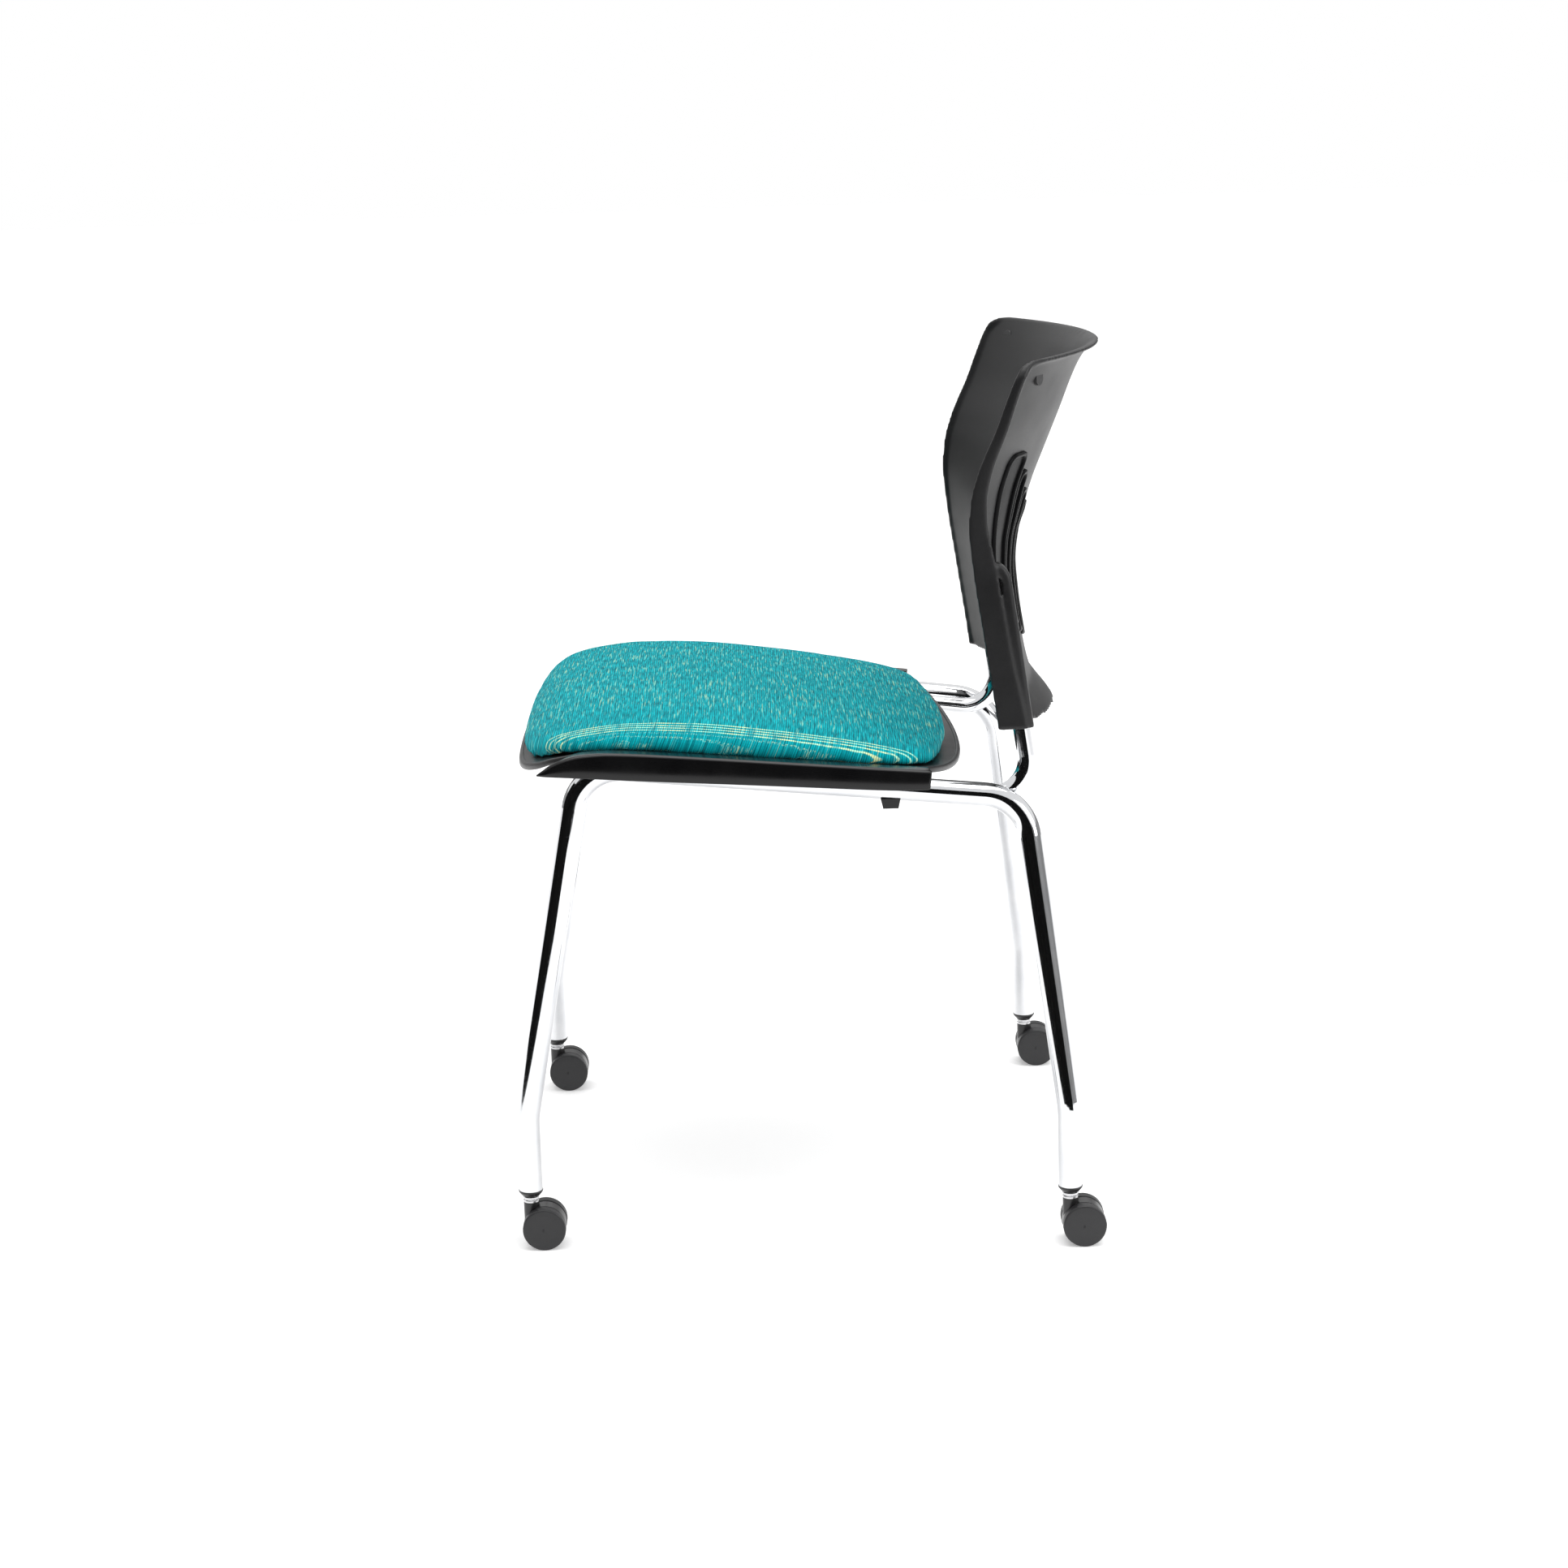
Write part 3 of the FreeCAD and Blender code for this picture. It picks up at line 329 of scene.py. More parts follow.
fleck = noise(nt, 0.62, 2.0, 0.55, (0.052, 1.0, 1.0), cloth)
cloud = noise(nt, 0.028, 3.0, 0.55, (0.7, 1.0, 1.0), cloth)
tone = ramp(nt, yarn, [(0.30, (0.0, 0.125, 0.150)), (0.46, (0.0, 0.245, 0.285)), (0.60, (0.0, 0.355, 0.400)),
                       (0.76, (0.020, 0.50, 0.54))])
# painted shade: the base colour is darkened in the grooves between the ribs
rib_groove_painted_shade = map_range(nt, rib01, 0.0, 1.0, 0.60, 1.10)
base = node(nt, "ShaderNodeVectorMath", {0: tone}, operation="SCALE")
nt.links.new(rib_groove_painted_shade, base.inputs["Scale"])
# pale flecks, denser towards the middle of the seat
amount = maths(nt, "MULTIPLY_ADD", cloud, 0.34, 0.36)
absx = maths(nt, "ABSOLUTE", fx)
plain = map_range(nt, absx, 120.0, 190.0, 0.0, -0.05)
level = maths(nt, "ADD", maths(nt, "MULTIPLY_ADD", amount, 0.22, fleck), plain)
fleck_mask = map_range(nt, level, 0.685, 0.76, 0.0, 0.72)
mx = nt.nodes.new("ShaderNodeMix")
mx.data_type = "RGBA"
nt.links.new(fleck_mask, mx.inputs[0])
nt.links.new(base.outputs[0], mx.inputs[6])
flecktone = ramp(nt, cloud, [(0.35, (0.10, 0.50, 0.47)), (0.6, (0.30, 0.54, 0.36))])
nt.links.new(flecktone, mx.inputs[7])
# stripes of stitched dots
pos = maths(nt, "MULTIPLY", maths(nt, "SUBTRACT", absx, 199.0), 1 / 4.9)
within = maths(nt, "MULTIPLY", maths(nt, "GREATER_THAN", pos, -0.5), maths(nt, "LESS_THAN", pos, 3.5))
line = maths(nt, "COSINE", maths(nt, "MULTIPLY", pos, 2 * math.pi))
line = map_range(nt, line, 0.35, 0.8, 0.0, 1.0)
dots = map_range(nt, rib01, 0.25, 0.7, 0.45, 1.0)
worn = map_range(nt, noise(nt, 0.09, 3.0, 0.6, (0.2, 1, 1), cloth), 0.36, 0.5, 0.25, 1.0)
stripe = maths(nt, "MULTIPLY", maths(nt, "MULTIPLY", line, within), maths(nt, "MULTIPLY", dots, worn))
# small dots past the stripes
low = maths(nt, "MULTIPLY", maths(nt, "GREATER_THAN", pos, 3.5), maths(nt, "MULTIPLY", dots, line))
speck = map_range(nt, noise(nt, 0.8, 1.0, 0.5, (1, 1, 1), cloth), 0.52, 0.62, 0.0, 0.55)
stripe = maths(nt, "MAXIMUM", stripe, maths(nt, "MULTIPLY", low, speck))
mx2 = nt.nodes.new("ShaderNodeMix")
mx2.data_type = "RGBA"
nt.links.new(stripe, mx2.inputs[0])
nt.links.new(mx.outputs[2], mx2.inputs[6])
stripetone = ramp(nt, cloud, [(0.40, (0.42, 0.80, 0.56)), (0.60, (0.70, 0.80, 0.40))])
nt.links.new(stripetone, mx2.inputs[7])
nt.links.new(mx2.outputs[2], b.inputs["Base Color"])
height = maths(nt, "MULTIPLY_ADD", warp01, 0.22, maths(nt, "MULTIPLY_ADD", yarn, 0.5, rib01))
bump(nt, b, height, 0.00035, 0.9)

MATERIALS = {
    "chrome": CHROME, "frame_steel": FRAME_STEEL, "zinc": ZINC, "satin_black": BACK, "gloss_black": GLOSS,
    "board": BOARD, "upholstery": FABRIC, "bumper": RUBBER, "socket_black": SOCKET, "stem_plated": STEM,
    "hood_black": HOOD, "axle_steel": AXLE, "wheel_black": WHEEL,
}
for o in NODES.values():
    for s in o.material_slots:
        if s.material and s.material.name in MATERIALS:
            s.material = MATERIALS[s.material.name]
for n in ("left_plug_cap", "right_plug_cap"):
    NODES[n].material_slots[0].material = CAP

# ------------------------------------------------------------------ seat surfaces
SEAT_Y = [-290, -277, -265, -250, -235, -205, -182, -146, -73, 0, 74, 110, 126, 138, 147, 165]
seat_mid = curve(SEAT_Y, [418, 430.5, 440, 447, 451, 453.5, 453.5, 452, 445, 437.5, 429.5, 424.8, 422.3, 420.2, 418.6,
                          415])
seat_side = curve(SEAT_Y, [436, 442, 448, 456, 463.5, 469, 469.5, 467, 459, 451.5, 444.5, 442.5, 441.8, 441.2, 440.8,
                           440])
cush_mid = curve([-290, -272, -265, -249, -232, -198, -165, -115, -33, 50, 91, 125, 150],
                 [420, 447, 457, 473, 481, 488, 491, 489.5, 481, 468, 458, 444, 426])


def seat_half(y):
    return 242.0 - 17.0 * np.clip((np.asarray(y, float) + 209.0) / 316.0, -0.2, 1.1)


def seat_z(x, y):
    u = np.minimum(np.abs(x) / seat_half(y), 1.1)
    m, s = seat_mid(y), seat_side(y)
    return m + (s - m) * (0.62 * u**2 + 0.38 * u**4)


def cushion_top(x, y):
    u = np.minimum(np.abs(x) / (seat_half(y) - 12.0), 1.0)
    return cush_mid(y) - 7.0 * u**2 - 9.0 * u**14


def unit_square(n, n_front, n_rear):
    """Grid of the square carried onto the rounded unit outline, and its two coordinates."""
    s = np.sin(np.linspace(-1, 1, n) * math.pi / 2 * 0.86) / math.sin(math.pi / 2 * 0.86)
    a, b = np.meshgrid(s, s, indexing="ij")
    e = np.where(b < 0, float(n_front), float(n_rear))
    cx = a * (1 - np.abs(b) ** e / 2) ** (1 / e)
    cy = b * (1 - np.abs(a) ** e / 2) ** (1 / e)
    return a, b, cx, cy


def plan_point(cx, cy, front, rear, dh, bow):
    y_lin = (front + rear) / 2 + cy * (rear - front) / 2
    x = cx * (seat_half(y_lin) - dh)
    u = (x / 200.0) ** 2
    yr = rear - bow[0] * u - bow[1] * u * u
    yf = front + 12.0 * u + 6.0 * u * u
    return x, (yf + yr) / 2 + cy * (yr - yf) / 2


def grid_ring(n):
    """Indices round the border of an n by n grid, in order."""
    return ([(i, 0) for i in range(n - 1)] + [(n - 1, j) for j in range(n - 1)]
            + [(i, n - 1) for i in range(n - 1, 0, -1)] + [(0, j) for j in range(n - 1, 0, -1)])


def pad_mesh(top, bottom, rims):
    """Closed form from two grids of points, joined by the loops of points given in rims."""
    n = len(top)
    ring = grid_ring(n)
    verts = [top.reshape(-1, 3), bottom.reshape(-1, 3)]
    faces = []
    for i in range(n - 1):
        for j in range(n - 1):
            q = (i * n + j, (i + 1) * n + j, (i + 1) * n + j + 1, i * n + j + 1)
            faces.append(q)
            faces.append(tuple(n * n + k for k in reversed(q)))
    loops = [[i * n + j for i, j in ring]]
    base = 2 * n * n
    for r in rims:
        verts.append(np.asarray(r, float))
        loops.append(list(range(base, base + len(ring))))
        base += len(ring)
    loops.append([n * n + i * n + j for i, j in ring])
    for la, lb in zip(loops, loops[1:]):
        for k in range(len(ring)):
            k2 = (k + 1) % len(ring)
            faces.append((la[k], lb[k], lb[k2], la[k2]))
    return np.concatenate(verts), faces


# seat shell: dished moulding with a rounded rim and a shallow groove inside it
N = 97
a, b2, cx, cy = unit_square(N, 7.0, 18.0)
x, y = plan_point(cx, cy, -276.5, 147.0, 0.0, (26.0, 5.4))
ring = grid_ring(N)
rim_x, rim_y = np.array([x[i, j] for i, j in ring]), np.array([y[i, j] for i, j in ring])
tx, ty = np.roll(rim_x, -1) - np.roll(rim_x, 1), np.roll(rim_y, -1) - np.roll(rim_y, 1)
ln = np.hypot(tx, ty)
nx, ny = ty / ln, -tx / ln
if np.mean(nx * rim_x + ny * (rim_y + 64)) < 0:
    nx, ny = -nx, -ny


def rim_loop(out, dz):
    px, py = rim_x + nx * out, rim_y + ny * out
    return np.stack([px, py, seat_z(px, py) + dz], 1)


# the grid keeps inside the rim by a few millimetres
edge = 5.2
sx = 1 - edge / 232.0
gx, gy = plan_point(cx * sx, cy * (1 - edge / 210.0), -276.5, 147.0, 0.0, (26.0, 5.4))
gz = seat_z(gx, gy)
top = np.stack([gx, gy, gz - 0.6], 2)
bot = np.stack([gx, gy, gz - 4.0], 2)
rims = [rim_loop(-4.4, -0.5), rim_loop(-3.9, 0.25), rim_loop(-3.2, 0.55), rim_loop(-2.0, 0.65), rim_loop(-1.0, 0.35),
        rim_loop(-0.35, -0.4), rim_loop(0.0, -1.6), rim_loop(0.0, -3.4), rim_loop(-0.35, -4.6), rim_loop(-1.1, -5.3),
        rim_loop(-2.2, -5.4), rim_loop(-3.0, -4.9), rim_loop(-3.6, -4.1)]
shell_parts = [pad_mesh(top, bot, rims)]


def turned(profile, centre, n=40):
    """Closed turned form from (radius, height) pairs that start and end on the axis."""
    t = np.arange(n) * 2 * math.pi / n
    secs = []
    for r, h in profile:
        r = max(r, 0.02)
        secs.append(np.stack([centre[0] + r * np.cos(t), centre[1] + r * np.sin(t), np.full(n, centre[2] + h)], 1))
    return loft(secs)


shell_main = mesh_object("seat_shell_moulding", *shell_parts[0])
# moulded feet over the brackets, drilled for the seat screws
screw_cut = []
for fx0, fy0 in ((-110, -150), (110, -150), (-110, 30), (110, 30)):
    zt = float(seat_z(fx0, fy0))
    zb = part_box("seat_bracket_front" if fy0 < 0 else "seat_bracket_rear")
    v, f = turned([(0.02, 0), (10.0, 0), (10.0, -0.2), (10.4, -8), (9.6, -14), (0.02, -14)], (fx0, fy0, zt - 2.0))
    low = float(seat_mid(fy0 + 18.0)) - 4.8 + (fy0 + 18.0 - v[:, 1]) * 0.0
    v[:, 2] = np.maximum(v[:, 2], float(seat_mid(fy0 + 18.0)) - 4.6 - (v[:, 1] - (fy0 + 18.0)) * 0.116 - 0.1 - 2.1)
    shell_parts.append((v, f))
feet_v, feet_f = join(shell_parts[1:])
feet = mesh_object("feet_tmp", feet_v, feet_f)

# ------------------------------------------------------------------ cushion
SHRINK = 3.2
M = 111
a, b2, cx, cy = unit_square(M, 6.5, 11.0)
cu = dict(front=-271.5 + SHRINK, rear=133.0 - SHRINK, dh=12.0 + SHRINK, bow=(24.7, -1.1))
x, y = plan_point(cx, cy, **cu)
zt = cushion_top(x * 1.0, y) - 1.2
zb = seat_z(x, y) + 0.5
board_half = seat_half(y) - 33.2
u = (x / 200.0) ** 2
inside = ((np.abs(x) < board_half) & (y > -276.5 + 12 * u + 6 * u * u + 33.0)
          & (y < 147.0 - 26 * u - 5.4 * u * u - 33.0))
zb = np.where(inside, zb + 6.8, zb)
top = np.stack([x, y, zt], 2)
bot = np.stack([x, y, zb], 2)
v, f = pad_mesh(top, bot, [])
cushion = mesh_object("seat_cushion_cover", v, f)
remesh(cushion, 4.4, 5, 0.5)
rest = coords(cushion) / MM
lowest = seat_z(rest[:, 0], rest[:, 1])
pin = cushion.vertex_groups.new(name="held")
above = rest[:, 2] - lowest
# the underside is held by the shell and the board; the side is tacked under along its lower edge
held = above < 2.6
u = (rest[:, 0] / 200.0) ** 2
under_board = ((np.abs(rest[:, 0]) < seat_half(rest[:, 1]) - 30.0) & (above < 10.5)
               & (rest[:, 2] < cushion_top(rest[:, 0], rest[:, 1]) - 9.0))
held = held | under_board
pin.add([int(i) for i in np.nonzero(held)[0]], 1.0, "REPLACE")
mod = cushion.modifiers.new("cloth", "CLOTH")
st = mod.settings
st.quality = 6
st.mass = 0.3
st.tension_stiffness = st.compression_stiffness = 12.0
st.shear_stiffness = 6.0
st.bending_stiffness = 0.6
st.use_pressure = True
st.uniform_pressure_force = 4.0
st.vertex_group_mass = "held"
st.effector_weights.gravity = 0.0
mod.collision_settings.use_collision = False
mod.point_cache.frame_start, mod.point_cache.frame_end = 1, 20
scene = bpy.context.scene
for fr in range(1, 21):
    scene.frame_set(fr)
dg = bpy.context.evaluated_depsgraph_get()
swollen = np.zeros(len(rest) * 3)
cushion.evaluated_get(dg).data.vertices.foreach_get("co", swollen)
swollen = swollen.reshape(-1, 3) / MM
cushion.modifiers.clear()
scene.frame_set(1)
move = swollen - rest
size = np.linalg.norm(move, axis=1, keepdims=True)
CAP_MM = 4.6
move *= np.minimum(1.0, CAP_MM / np.maximum(size, 1e-6))
# the plump shape follows the simulation and stays within a millimetre or so of the cover's outline
nrm = np.zeros(len(rest) * 3)
cushion.data.vertices.foreach_get("normal", nrm)
nrm = nrm.reshape(-1, 3)
along = (move * nrm).sum(1, keepdims=True)
wanted = np.where(held[:, None], 0.0, np.clip(2.4 + 0.35 * along, 2.6, 4.4))
move += (wanted - along) * nrm
print("cushion: moved mean %.2f mm, most %.2f mm before the cap" % (size.mean(), size.max()))
pts = rest + move
set_coords(cushion, pts * MM)
sub = cushion.modifiers.new("fine", "SUBSURF")
sub.levels = sub.render_levels = 1
bake(cushion)
pts = coords(cushion) / MM
# fabric coordinates: straight grain over the top, sheared a little where the cover is pulled round the sides
x, y, z = pts.T
crown = cush_mid(y)
drop = np.maximum(crown - z - 2.0, 0.0)
side = smooth((np.abs(x) - 60.0) / 170.0)
pull = 0.42 * drop * side * (1 - smooth((y - 10.0) / 110.0) * 0.85) * smooth((y + 290) / 60)
cloth_xy = np.stack([x * (1 + 0.012 * side), y + pull, z * 0.0], 1)
at = cushion.data.attributes.new("weave", "FLOAT_VECTOR", "POINT")
at.data.foreach_set("vector", np.ascontiguousarray(cloth_xy, dtype=np.float32).ravel())
finish_piece(cushion, FABRIC, ["seat_cushion"])

# seat shell: wall and feet drilled for the seat screws, then joined
def drills():
    out = []
    for k, (px, py) in enumerate(((-110, -150), (110, -150), (-110, 30), (110, 30))):
        v, f = turned([(3.3, -45), (3.3, 20)], (px, py, float(seat_z(px, py))), 32)
        out.append(mesh_object("drill_%d" % k, v, f))
    return out


subtract(shell_main, drills())
subtract(feet, drills())
bm = bmesh.new()
bm.from_mesh(shell_main.data)
bm.from_mesh(feet.data)
bm.to_mesh(shell_main.data)
bm.free()
bpy.data.objects.remove(feet)
print("shell", len(shell_main.data.polygons))
finish_piece(shell_main, SHELL, ["seat_shell"], angle=38)

# ------------------------------------------------------------------ side skirts
skirt_top = curve([-37.5, -32.5, -27, -17.2, -6.6, 4.1, 25.7, 62, 135, 208, 282, 318],
                  [-7.6, -3.4, 1.3, 6.9, 10.9, 13.5, 16.4, 17.9, 19.1, 19.9, 20.7, 21.3])
skirt_low = curve([-37.5, -36.5, 0.0, 63.9, 136.8, 210.0, 283.6, 318.0], [-8.9, -9.0, -8.1, -6.5, -4.0, -1.8, 0.6, 3.6])
TILT, YAW = math.radians(6.62), math.radians(3.16)
for side_name, sgn in (("left", -1), ("right", 1)):
    secs = []
    stations = np.concatenate([[-37.6, -37.2, -36.2], np.linspace(-34.5, 8, 26), np.linspace(12, 312, 60),
                               [315.5, 317.2, 317.9, 318.0]])
    for s in stations:
        t, l = float(skirt_top(s)), float(skirt_low(s))
        h = max(t - l, 0.9)
        endk = 1.0
        if s > 314.0:
            endk = math.sqrt(max(0.0, 1 - ((s - 314.0) / 4.0) ** 2))
        w = 3.0 if s > -30 else 1.6 + 1.4 * max(0.0, (s + 37.6) / 7.6)
        r = min(3.4, h * 0.42, w * 1.1)
        fl = 15.0 * float(smooth(np.array((s + 22.0) / 22.0)))      # flange reach
        g = 2.2
        bow = 0.9 * min(1.0, h / 20.0)                              # face slightly full
        pts2 = []
        # outer face from the lower edge up
        pts2 += [(0.35, l), (w - 0.9, l), (w - 0.25, l + 0.35), (w, l + 1.1)]
        for q in (0.2, 0.4, 0.6, 0.8):
            zz = l + 1.1 + (t - r - l - 1.1) * q
            pts2.append((w + bow * 4 * q * (1 - q), zz))
        for q in range(0, 8):
            ang = math.radians(q * 90 / 7.0)
            pts2.append((w - r + r * math.cos(ang), t - r + r * math.sin(ang)))
        if fl > 0.5:
            for q in (0.25, 0.5, 0.75):
                pts2.append((w - r - (fl + w - r - 1.0) * q, t))
        else:
            for q in (0.25, 0.5, 0.75):
                pts2.append((w - r - (w - r) * q * 0.9, t))
        e0 = -fl
        if fl > 0.5:
            pts2 += [(e0 + 0.6, t), (e0, t - 0.6), (e0, t - g + 0.5), (e0 + 0.6, t - g)]
            pts2 += [(-1.2, t - g), (-0.3, t - g - 0.4), (0.0, t - g - 1.4)]
        else:
            d0 = min(0.5, h * 0.1)
            pts2 += [(0.1, t - d0 * 0.2), (0.0, t - d0), (0.0, t - d0 * 1.5), (0.0, t - d0 * 2)]
            pts2 += [(0.0, t - d0 * 2.5), (0.0, t - d0 * 3.0), (0.0, t - d0 * 3.5)]
        pts2 += [(0.0, l + (t - l) * 0.4), (0.0, l + min(0.8, h * 0.2))]
        sec = []
        cxm, czm = 0.5 * w, (t + l) / 2
        for px, pz in pts2:
            px = cxm + (px - cxm) * (0.5 + 0.5 * endk)
            pz = czm + (pz - czm) * (0.90 + 0.10 * endk)
            sec.append((px, s, pz))
        secs.append(sec)
    v, f = loft(secs)
    v[:, 0] *= sgn
    tilt = Matrix.Rotation(-TILT, 3, "X")
    yawm = Matrix.Rotation(sgn * YAW, 3, "Z")
    R = np.array((yawm @ tilt))
    v = v @ R.T + np.array([sgn * 250.0, -209.0, 457.1])
    o = mesh_object(side_name + "_side_skirt_moulding", v, f)
    finish_piece(o, GLOSS, [side_name + "_side_skirt"], angle=50)

# ------------------------------------------------------------------ back
BACK_Z = [444, 455, 466, 478, 492, 532, 570, 600, 630, 655, 680, 706, 745, 770, 788, 798, 806]
back_f = curve(BACK_Z, [175, 173.6, 172, 170.5, 168.8, 163, 157.5, 153, 149.5, 147.5, 149.5, 156.5, 173.5, 183, 190.3,
                        194.8, 198.6])
back_r = curve(BACK_Z, [247, 241.4, 234.5, 225, 216, 207.5, 202.3, 200.3, 204, 213, 221.7, 232.5, 248.5, 258.3,
                        266.8, 274, 283])
back_d = curve(BACK_Z, [27, 27, 27, 26.5, 25.8, 23, 22, 21.7, 20.5, 18, 15.5, 13.5, 11.5, 10.5, 10, 10, 10])
HALF, R_TOP, Z_TOP = 207.0, 18.0, 805.9


def back_rear(x, z):
    f_, r_ = back_f(z), back_r(z)
    return r_ - (r_ - (f_ + 5.0)) * (np.asarray(x, float) / HALF) ** 2


# wall
nxw, nzw = 141, 121
uu = np.linspace(-1, 1, nxw)
xw = uu * (HALF - 2.2)
zb = 459.5 + 11.5 * (xw / HALF) ** 2
over = np.maximum(np.abs(xw) - (HALF - R_TOP), 0)
zt = Z_TOP - R_TOP + np.sqrt(np.maximum((R_TOP - 2.0) ** 2 - over**2, 0.0))
tt = np.linspace(0, 1, nzw)
X = np.repeat(xw[:, None], nzw, 1)
Z = zb[:, None] + (zt - zb)[:, None] * tt[None, :]
YR = back_rear(X, Z)


def sheet_solid(X, YA, YB, Z):
    n, m = X.shape
    va = np.stack([X, YA, Z], 2).reshape(-1, 3)
    vb = np.stack([X, YB, Z], 2).reshape(-1, 3)
    faces = []
    for i in range(n - 1):
        for j in range(m - 1):
            q = (i * m + j, (i + 1) * m + j, (i + 1) * m + j + 1, i * m + j + 1)
            faces.append(q)
            faces.append(tuple(n * m + k for k in reversed(q)))
    loop = ([(i, 0) for i in range(n - 1)] + [(n - 1, j) for j in range(m - 1)]
            + [(i, m - 1) for i in range(n - 1, 0, -1)] + [(0, j) for j in range(m - 1, 0, -1)])
    for k in range(len(loop)):
        p, q = loop[k], loop[(k + 1) % len(loop)]
        pa, qa = p[0] * m + p[1], q[0] * m + q[1]
        faces.append((pa, n * m + pa, n * m + qa, qa))
    return np.concatenate([va, vb]), faces


wall = mesh_object("back_moulding", *sheet_solid(X, YR, YR - 4.0, Z))

# slots of the grille
SLOTS = []
tops = [638.0, 641.0, 647.0, 657.0, 672.0, 692.0, 712.0]
lows = [527.0, 529.0, 534.0, 541.0, 552.0, 572.0, 592.0]
for k in range(7):
    for sgn in ((1,) if k == 0 else (-1, 1)):
        half = 14.5 if k == 6 else 7.0
        SLOTS.append((sgn * (k * 24.0 + half - 7.0), lows[k], tops[k], half))


def stadium(xc, z0, z1, half, out=0.0, n=8, straight=26, flat=4):
    """Points round a slot of the given half width with corners of radius 7, moved outwards by out."""
    r = 7.0 + out
    pts = []
    corners = ((xc + half - 7.0, z1 - 7.0, 0.0), (xc - half + 7.0, z1 - 7.0, 0.5),
               (xc - half + 7.0, z0 + 7.0, 1.0), (xc + half - 7.0, z0 + 7.0, 1.5))
    for q, (cx_, cz_, a0) in enumerate(corners):
        for k in range(n):
            t = math.pi * (a0 + 0.5 * k / n)
            pts.append((cx_ + r * math.cos(t), cz_ + r * math.sin(t)))
        nx_, nz_, b0 = corners[(q + 1) % 4]
        t = math.pi * (a0 + 0.5)
        m = straight if q % 2 else (flat if half > 7.1 else 1)
        for k in range(m):
            w = k / m
            pts.append((cx_ + (nx_ - cx_) * w + r * math.cos(t), cz_ + (nz_ - cz_) * w + r * math.sin(t)))
    return np.array(pts)



# side members, corners and top bead in one sweep
side_pts = [(HALF, z, (-1.0, 0.0)) for z in np.linspace(471.0, Z_TOP - R_TOP, 96)]
corner = [(HALF - R_TOP + R_TOP * math.cos(t), Z_TOP - R_TOP + R_TOP * math.sin(t), (-math.cos(t), -math.sin(t)))
          for t in np.linspace(0, math.pi / 2, 16)[1:]]
top_pts = [(x_, Z_TOP, (0.0, -1.0)) for x_ in np.linspace(HALF - R_TOP, -(HALF - R_TOP), 70)[1:-1]]
mirror = [(-x_, z_, (-n_[0], n_[1])) for x_, z_, n_ in reversed(side_pts + corner)]
full = side_pts + corner + top_pts + mirror
secs = []
TH = np.arange(36) * 2 * math.pi / 36
for x_, z_, n_ in full:
    ontop = float(smooth(np.array((HALF - abs(x_)) / R_TOP)))       # 0 on the sides, 1 on the top edge
    up_ = float(smooth(np.array((z_ - 600.0) / 70.0)))              # 0 low down, 1 in the upper part
    yr = float(back_f(z_) + back_d(z_)) * (1 - ontop) + (float(back_rear(min(abs(x_), HALF), z_)) + 0.8) * ontop
    depth = float(back_d(z_)) + 0.3 * up_
    depth = depth + (6.2 - depth) * ontop
    thick = 5.0 + 1.0 * up_ * (1 - ontop) - 0.4 * ontop
    ex = 9.0 + (2.7 - 9.0) * up_
    yc = yr - depth / 2 + 0.9 * ontop + 0.2 * up_
    hd, ht = depth / 2, thick / 2
    c, s = np.cos(TH), np.sin(TH)
    pn = np.sign(c) * np.abs(c) ** (2 / ex) * ht + ht
    py = np.sign(s) * np.abs(s) ** (2 / ex) * hd
    secs.append(np.stack([x_ + n_[0] * pn, yc + py, z_ + n_[1] * pn], 1))
member = mesh_object("member_tmp", *loft(secs))

# pockets round the support tubes
p0 = np.array([193.5, 202.5, 403.5])
p1 = np.array([196.0, 174.0, 612.0])
d = (p1 - p0) / np.linalg.norm(p1 - p0)
pockets, bores = [], []
for sgn in (-1, 1):
    secs = []
    for q, z_ in enumerate(list(np.linspace(471.0, 606.0, 40)) + [610.0, 613.5, 616.5, 619.0, 621.0, 622.6, 623.6]):
        k = 1.0
        if z_ > 606.0:
            k = math.sqrt(max(0.02, 1 - ((z_ - 606.0) / 18.0) ** 2))
        c = p0 + d * ((z_ - p0[2]) / d[2])
        ex = 5.0
        cc, ss = np.cos(TH), np.sin(TH)
        px = np.sign(cc) * np.abs(cc) ** (2 / ex) * 10.2 * (0.80 + 0.20 * k)
        py = np.sign(ss) * np.abs(ss) ** (2 / ex) * 11.6
        py = np.where(py > 0, py * k, py * 0.9)
        secs.append(np.stack([sgn * (c[0] - 0.7) + px, c[1] + py, np.full(36, z_)], 1))
    pk = mesh_object("pocket_%d" % sgn, *loft(secs))
    pockets.append(pk)


def bore(name, sgn):
    a_ = p0 + d * ((440.0 - p0[2]) / d[2])
    b_ = p0 + d * ((613.0 - p0[2]) / d[2])
    e1 = np.cross(d, [1.0, 0, 0])
    e1 /= np.linalg.norm(e1)
    e2 = np.cross(d, e1)
    t = np.arange(48) * 2 * math.pi / 48
    ringp = np.outer(np.cos(t), e1) * 8.2 + np.outer(np.sin(t), e2) * 8.2
    v, f = loft([a_ + ringp, b_ + ringp])
    v[:, 0] *= sgn
    return mesh_object(name, v, f)


for k, pk in enumerate(pockets):
    subtract(pk, [bore("bore_p%d" % k, (-1, 1)[k])])
subtract(member, [bore("bore_m0", -1), bore("bore_m1", 1)])
subtract(wall, [bore("bore_w0", -1), bore("bore_w1", 1)])
bm = bmesh.new()
for o in (wall, member, *pockets):
    bm.from_mesh(o.data)
bm.to_mesh(wall.data)
bm.free()
for o in (member, *pockets):
    bpy.data.objects.remove(o)
remesh(wall, 2.0, 3, 0.5)
finish_piece(wall, BACK, ["back_shell"])

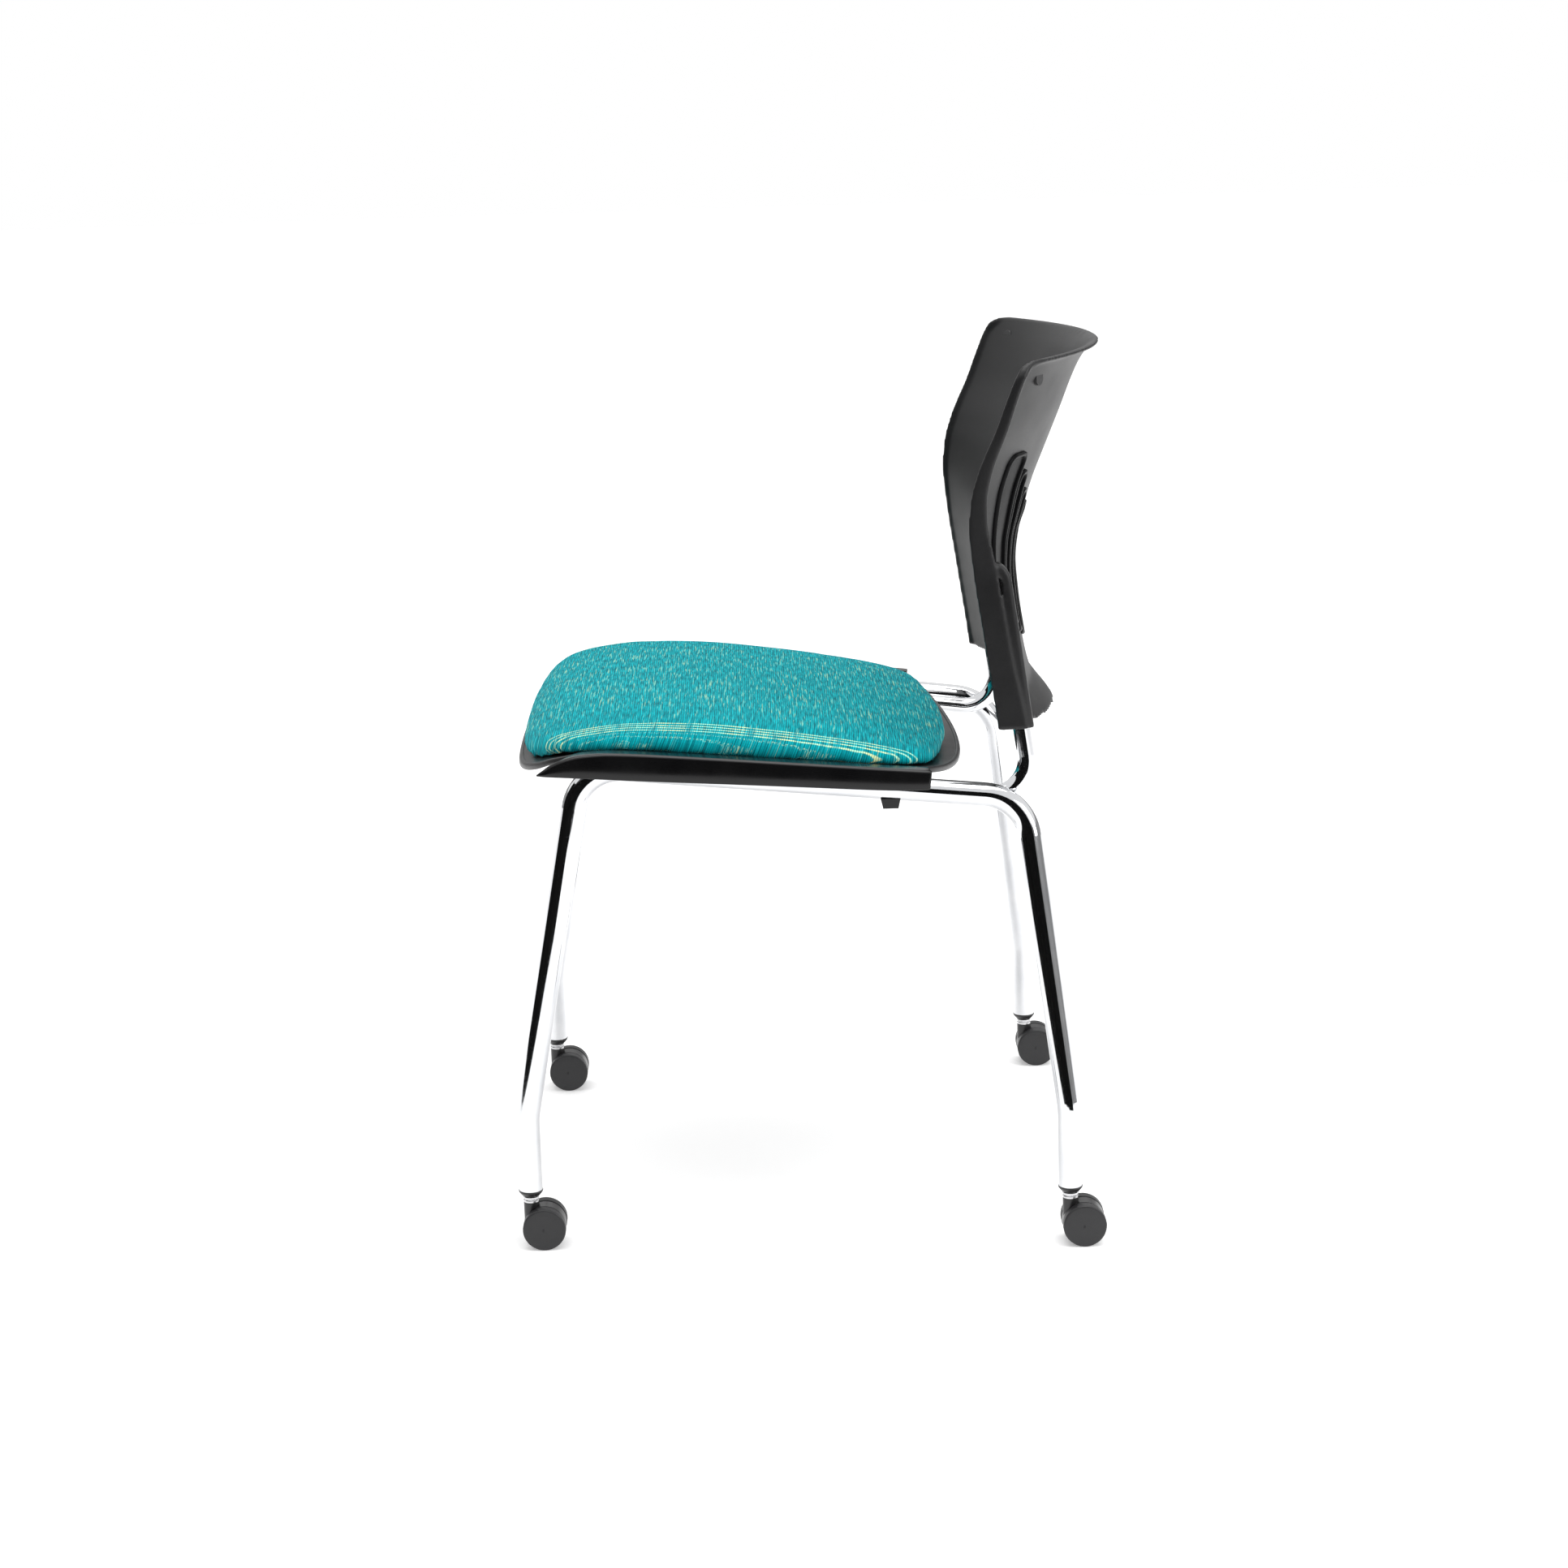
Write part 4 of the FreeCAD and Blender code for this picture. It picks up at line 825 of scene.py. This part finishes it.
# grille: raised rims with rounded ends, each lining its slot
PROFILE = [(0.0, -1.9), (0.0, 1.6), (0.25, 2.4), (0.8, 2.95), (1.6, 3.15), (2.6, 3.1), (3.5, 2.75), (4.2, 2.1),
           (4.65, 1.2), (4.85, 0.2), (4.85, -0.9), (1.6, -0.9), (0.9, -1.9)]
parts = []
for xc, z0, z1, half in SLOTS:
    secs = []
    base = stadium(xc, z0, z1, half, 0.0)
    outer = stadium(xc, z0, z1, half, 1.0)
    nrm = outer - base
    for (bx, bz), (ux, uz) in zip(base, nrm):
        sec = []
        for off, hgt in PROFILE:
            px, pz = bx + ux * off, bz + uz * off
            sec.append((px, float(back_rear(px, pz)) + hgt, pz))
        secs.append(sec)
    parts.append(loft(secs, closed=True))
    # painted shade: a dark sheet laid over the wall inside each slot stands in for the shadowed opening
    rows, cols = 60, 9
    zz = z0 + 0.4 + (z1 - z0 - 0.8) * np.linspace(0, 1, rows)
    into = np.minimum(zz - z0, z1 - zz)
    wide = half - 7.0 + np.sqrt(np.maximum(49.0 - np.maximum(7.0 - into, 0) ** 2, 0.04)) + 0.35
    XX = xc + wide[None, :] * np.linspace(-1, 1, cols)[:, None]
    ZZ = np.repeat(zz[None, :], cols, 0)
    YY = back_rear(XX, ZZ)
    parts.append(sheet_solid(XX, YY + 0.25, YY - 0.9, ZZ))
grille = mesh_object("lumbar_grille_moulding", *join(parts))
finish_piece(grille, GRILLE, ["lumbar_grille"], angle=50)

# ------------------------------------------------------------------ studio
floor_me = bpy.data.meshes.new("floor")
floor_me.from_pydata([(-14, -14, 0), (14, -14, 0), (14, 14, 0), (-14, 14, 0)], [], [(0, 1, 2, 3)])
floor = bpy.data.objects.new("floor", floor_me)
bpy.context.scene.collection.objects.link(floor)
fm, nt, b = material("studio_floor", (0.88, 0.88, 0.88), 0.75)
b.inputs["Emission Color"].default_value = (1, 1, 1, 1)
b.inputs["Emission Strength"].default_value = 0.22
nt.links.new(ramp(nt, noise(nt, 3.0), [(0.3, 0.870), (0.7, 0.885)]), b.inputs["Base Color"])
floor_me.materials.append(fm)

world = bpy.data.worlds.new("studio")
bpy.context.scene.world = world
world.use_nodes = True
nt = world.node_tree
bg = nt.nodes["Background"]
bg.inputs["Color"].default_value = (1, 1, 1, 1)
bg.inputs["Strength"].default_value = 1.0
black, nt, b = material("black_card", (0.006, 0.006, 0.006), 0.9)
b.inputs["Specular IOR Level"].default_value = 0.0
nt.links.new(ramp(nt, noise(nt, 1.2), [(0.3, 0.004), (0.7, 0.009)]), b.inputs["Base Color"])


def card(name, verts, faces):
    """Black cloth outside the picture, which only reflections see."""
    me = bpy.data.meshes.new(name)
    me.from_pydata(verts, [], faces)
    me.materials.append(black)
    o = bpy.data.objects.new(name, me)
    bpy.context.scene.collection.objects.link(o)
    o.visible_camera = o.visible_diffuse = o.visible_transmission = o.visible_shadow = False
    return o


verts = []
for k in range(15):
    t = math.radians(-104.0 + 10.0 * k)
    near = min(1.10 / max(math.cos(t + math.radians(56.0)), 0.2), 1.42)
    for r, z in ((near, 0.003), (5.0, 0.003), (5.0, 3.0)):
        verts.append((r * math.cos(t), r * math.sin(t), z))
faces = []
for k in range(14):
    a = 3 * k
    faces += [(a, a + 1, a + 4, a + 3), (a + 1, a + 2, a + 5, a + 4)]
card("dark_cloth", verts, faces)
grey, nt, b = material("grey_card", (0.30, 0.30, 0.30), 0.9)
b.inputs["Specular IOR Level"].default_value = 0.0
nt.links.new(ramp(nt, noise(nt, 0.8), [(0.3, 0.22), (0.7, 0.34)]), b.inputs["Base Color"])
verts = []
for k in range(23):
    t = math.radians(36.0 + 10.0 * k)
    verts += [(5.0 * math.cos(t), 5.0 * math.sin(t), 0.05), (5.0 * math.cos(t), 5.0 * math.sin(t), 1.5)]
ring = card("grey_cloth", verts, [(2 * k, 2 * k + 2, 2 * k + 3, 2 * k + 1) for k in range(22)])
ring.data.materials[0] = grey


def area(name, loc, target, size, power):
    l = bpy.data.lights.new(name, "AREA")
    l.shape, l.size, l.size_y, l.energy = "RECTANGLE", size[0], size[1], power
    o = bpy.data.objects.new(name, l)
    o.location = loc
    o.rotation_mode = "QUATERNION"
    o.rotation_quaternion = (Vector(target) - Vector(loc)).to_track_quat("-Z", "Y")
    bpy.context.scene.collection.objects.link(o)
    return o


area("top_light", (0.2, 0.3, 3.2), (0, 0, 0.4), (2.6, 2.6), 70.0)
area("rear_light", (1.6, 3.0, 1.7), (0, 0.1, 0.6), (1.6, 1.8), 40.0)
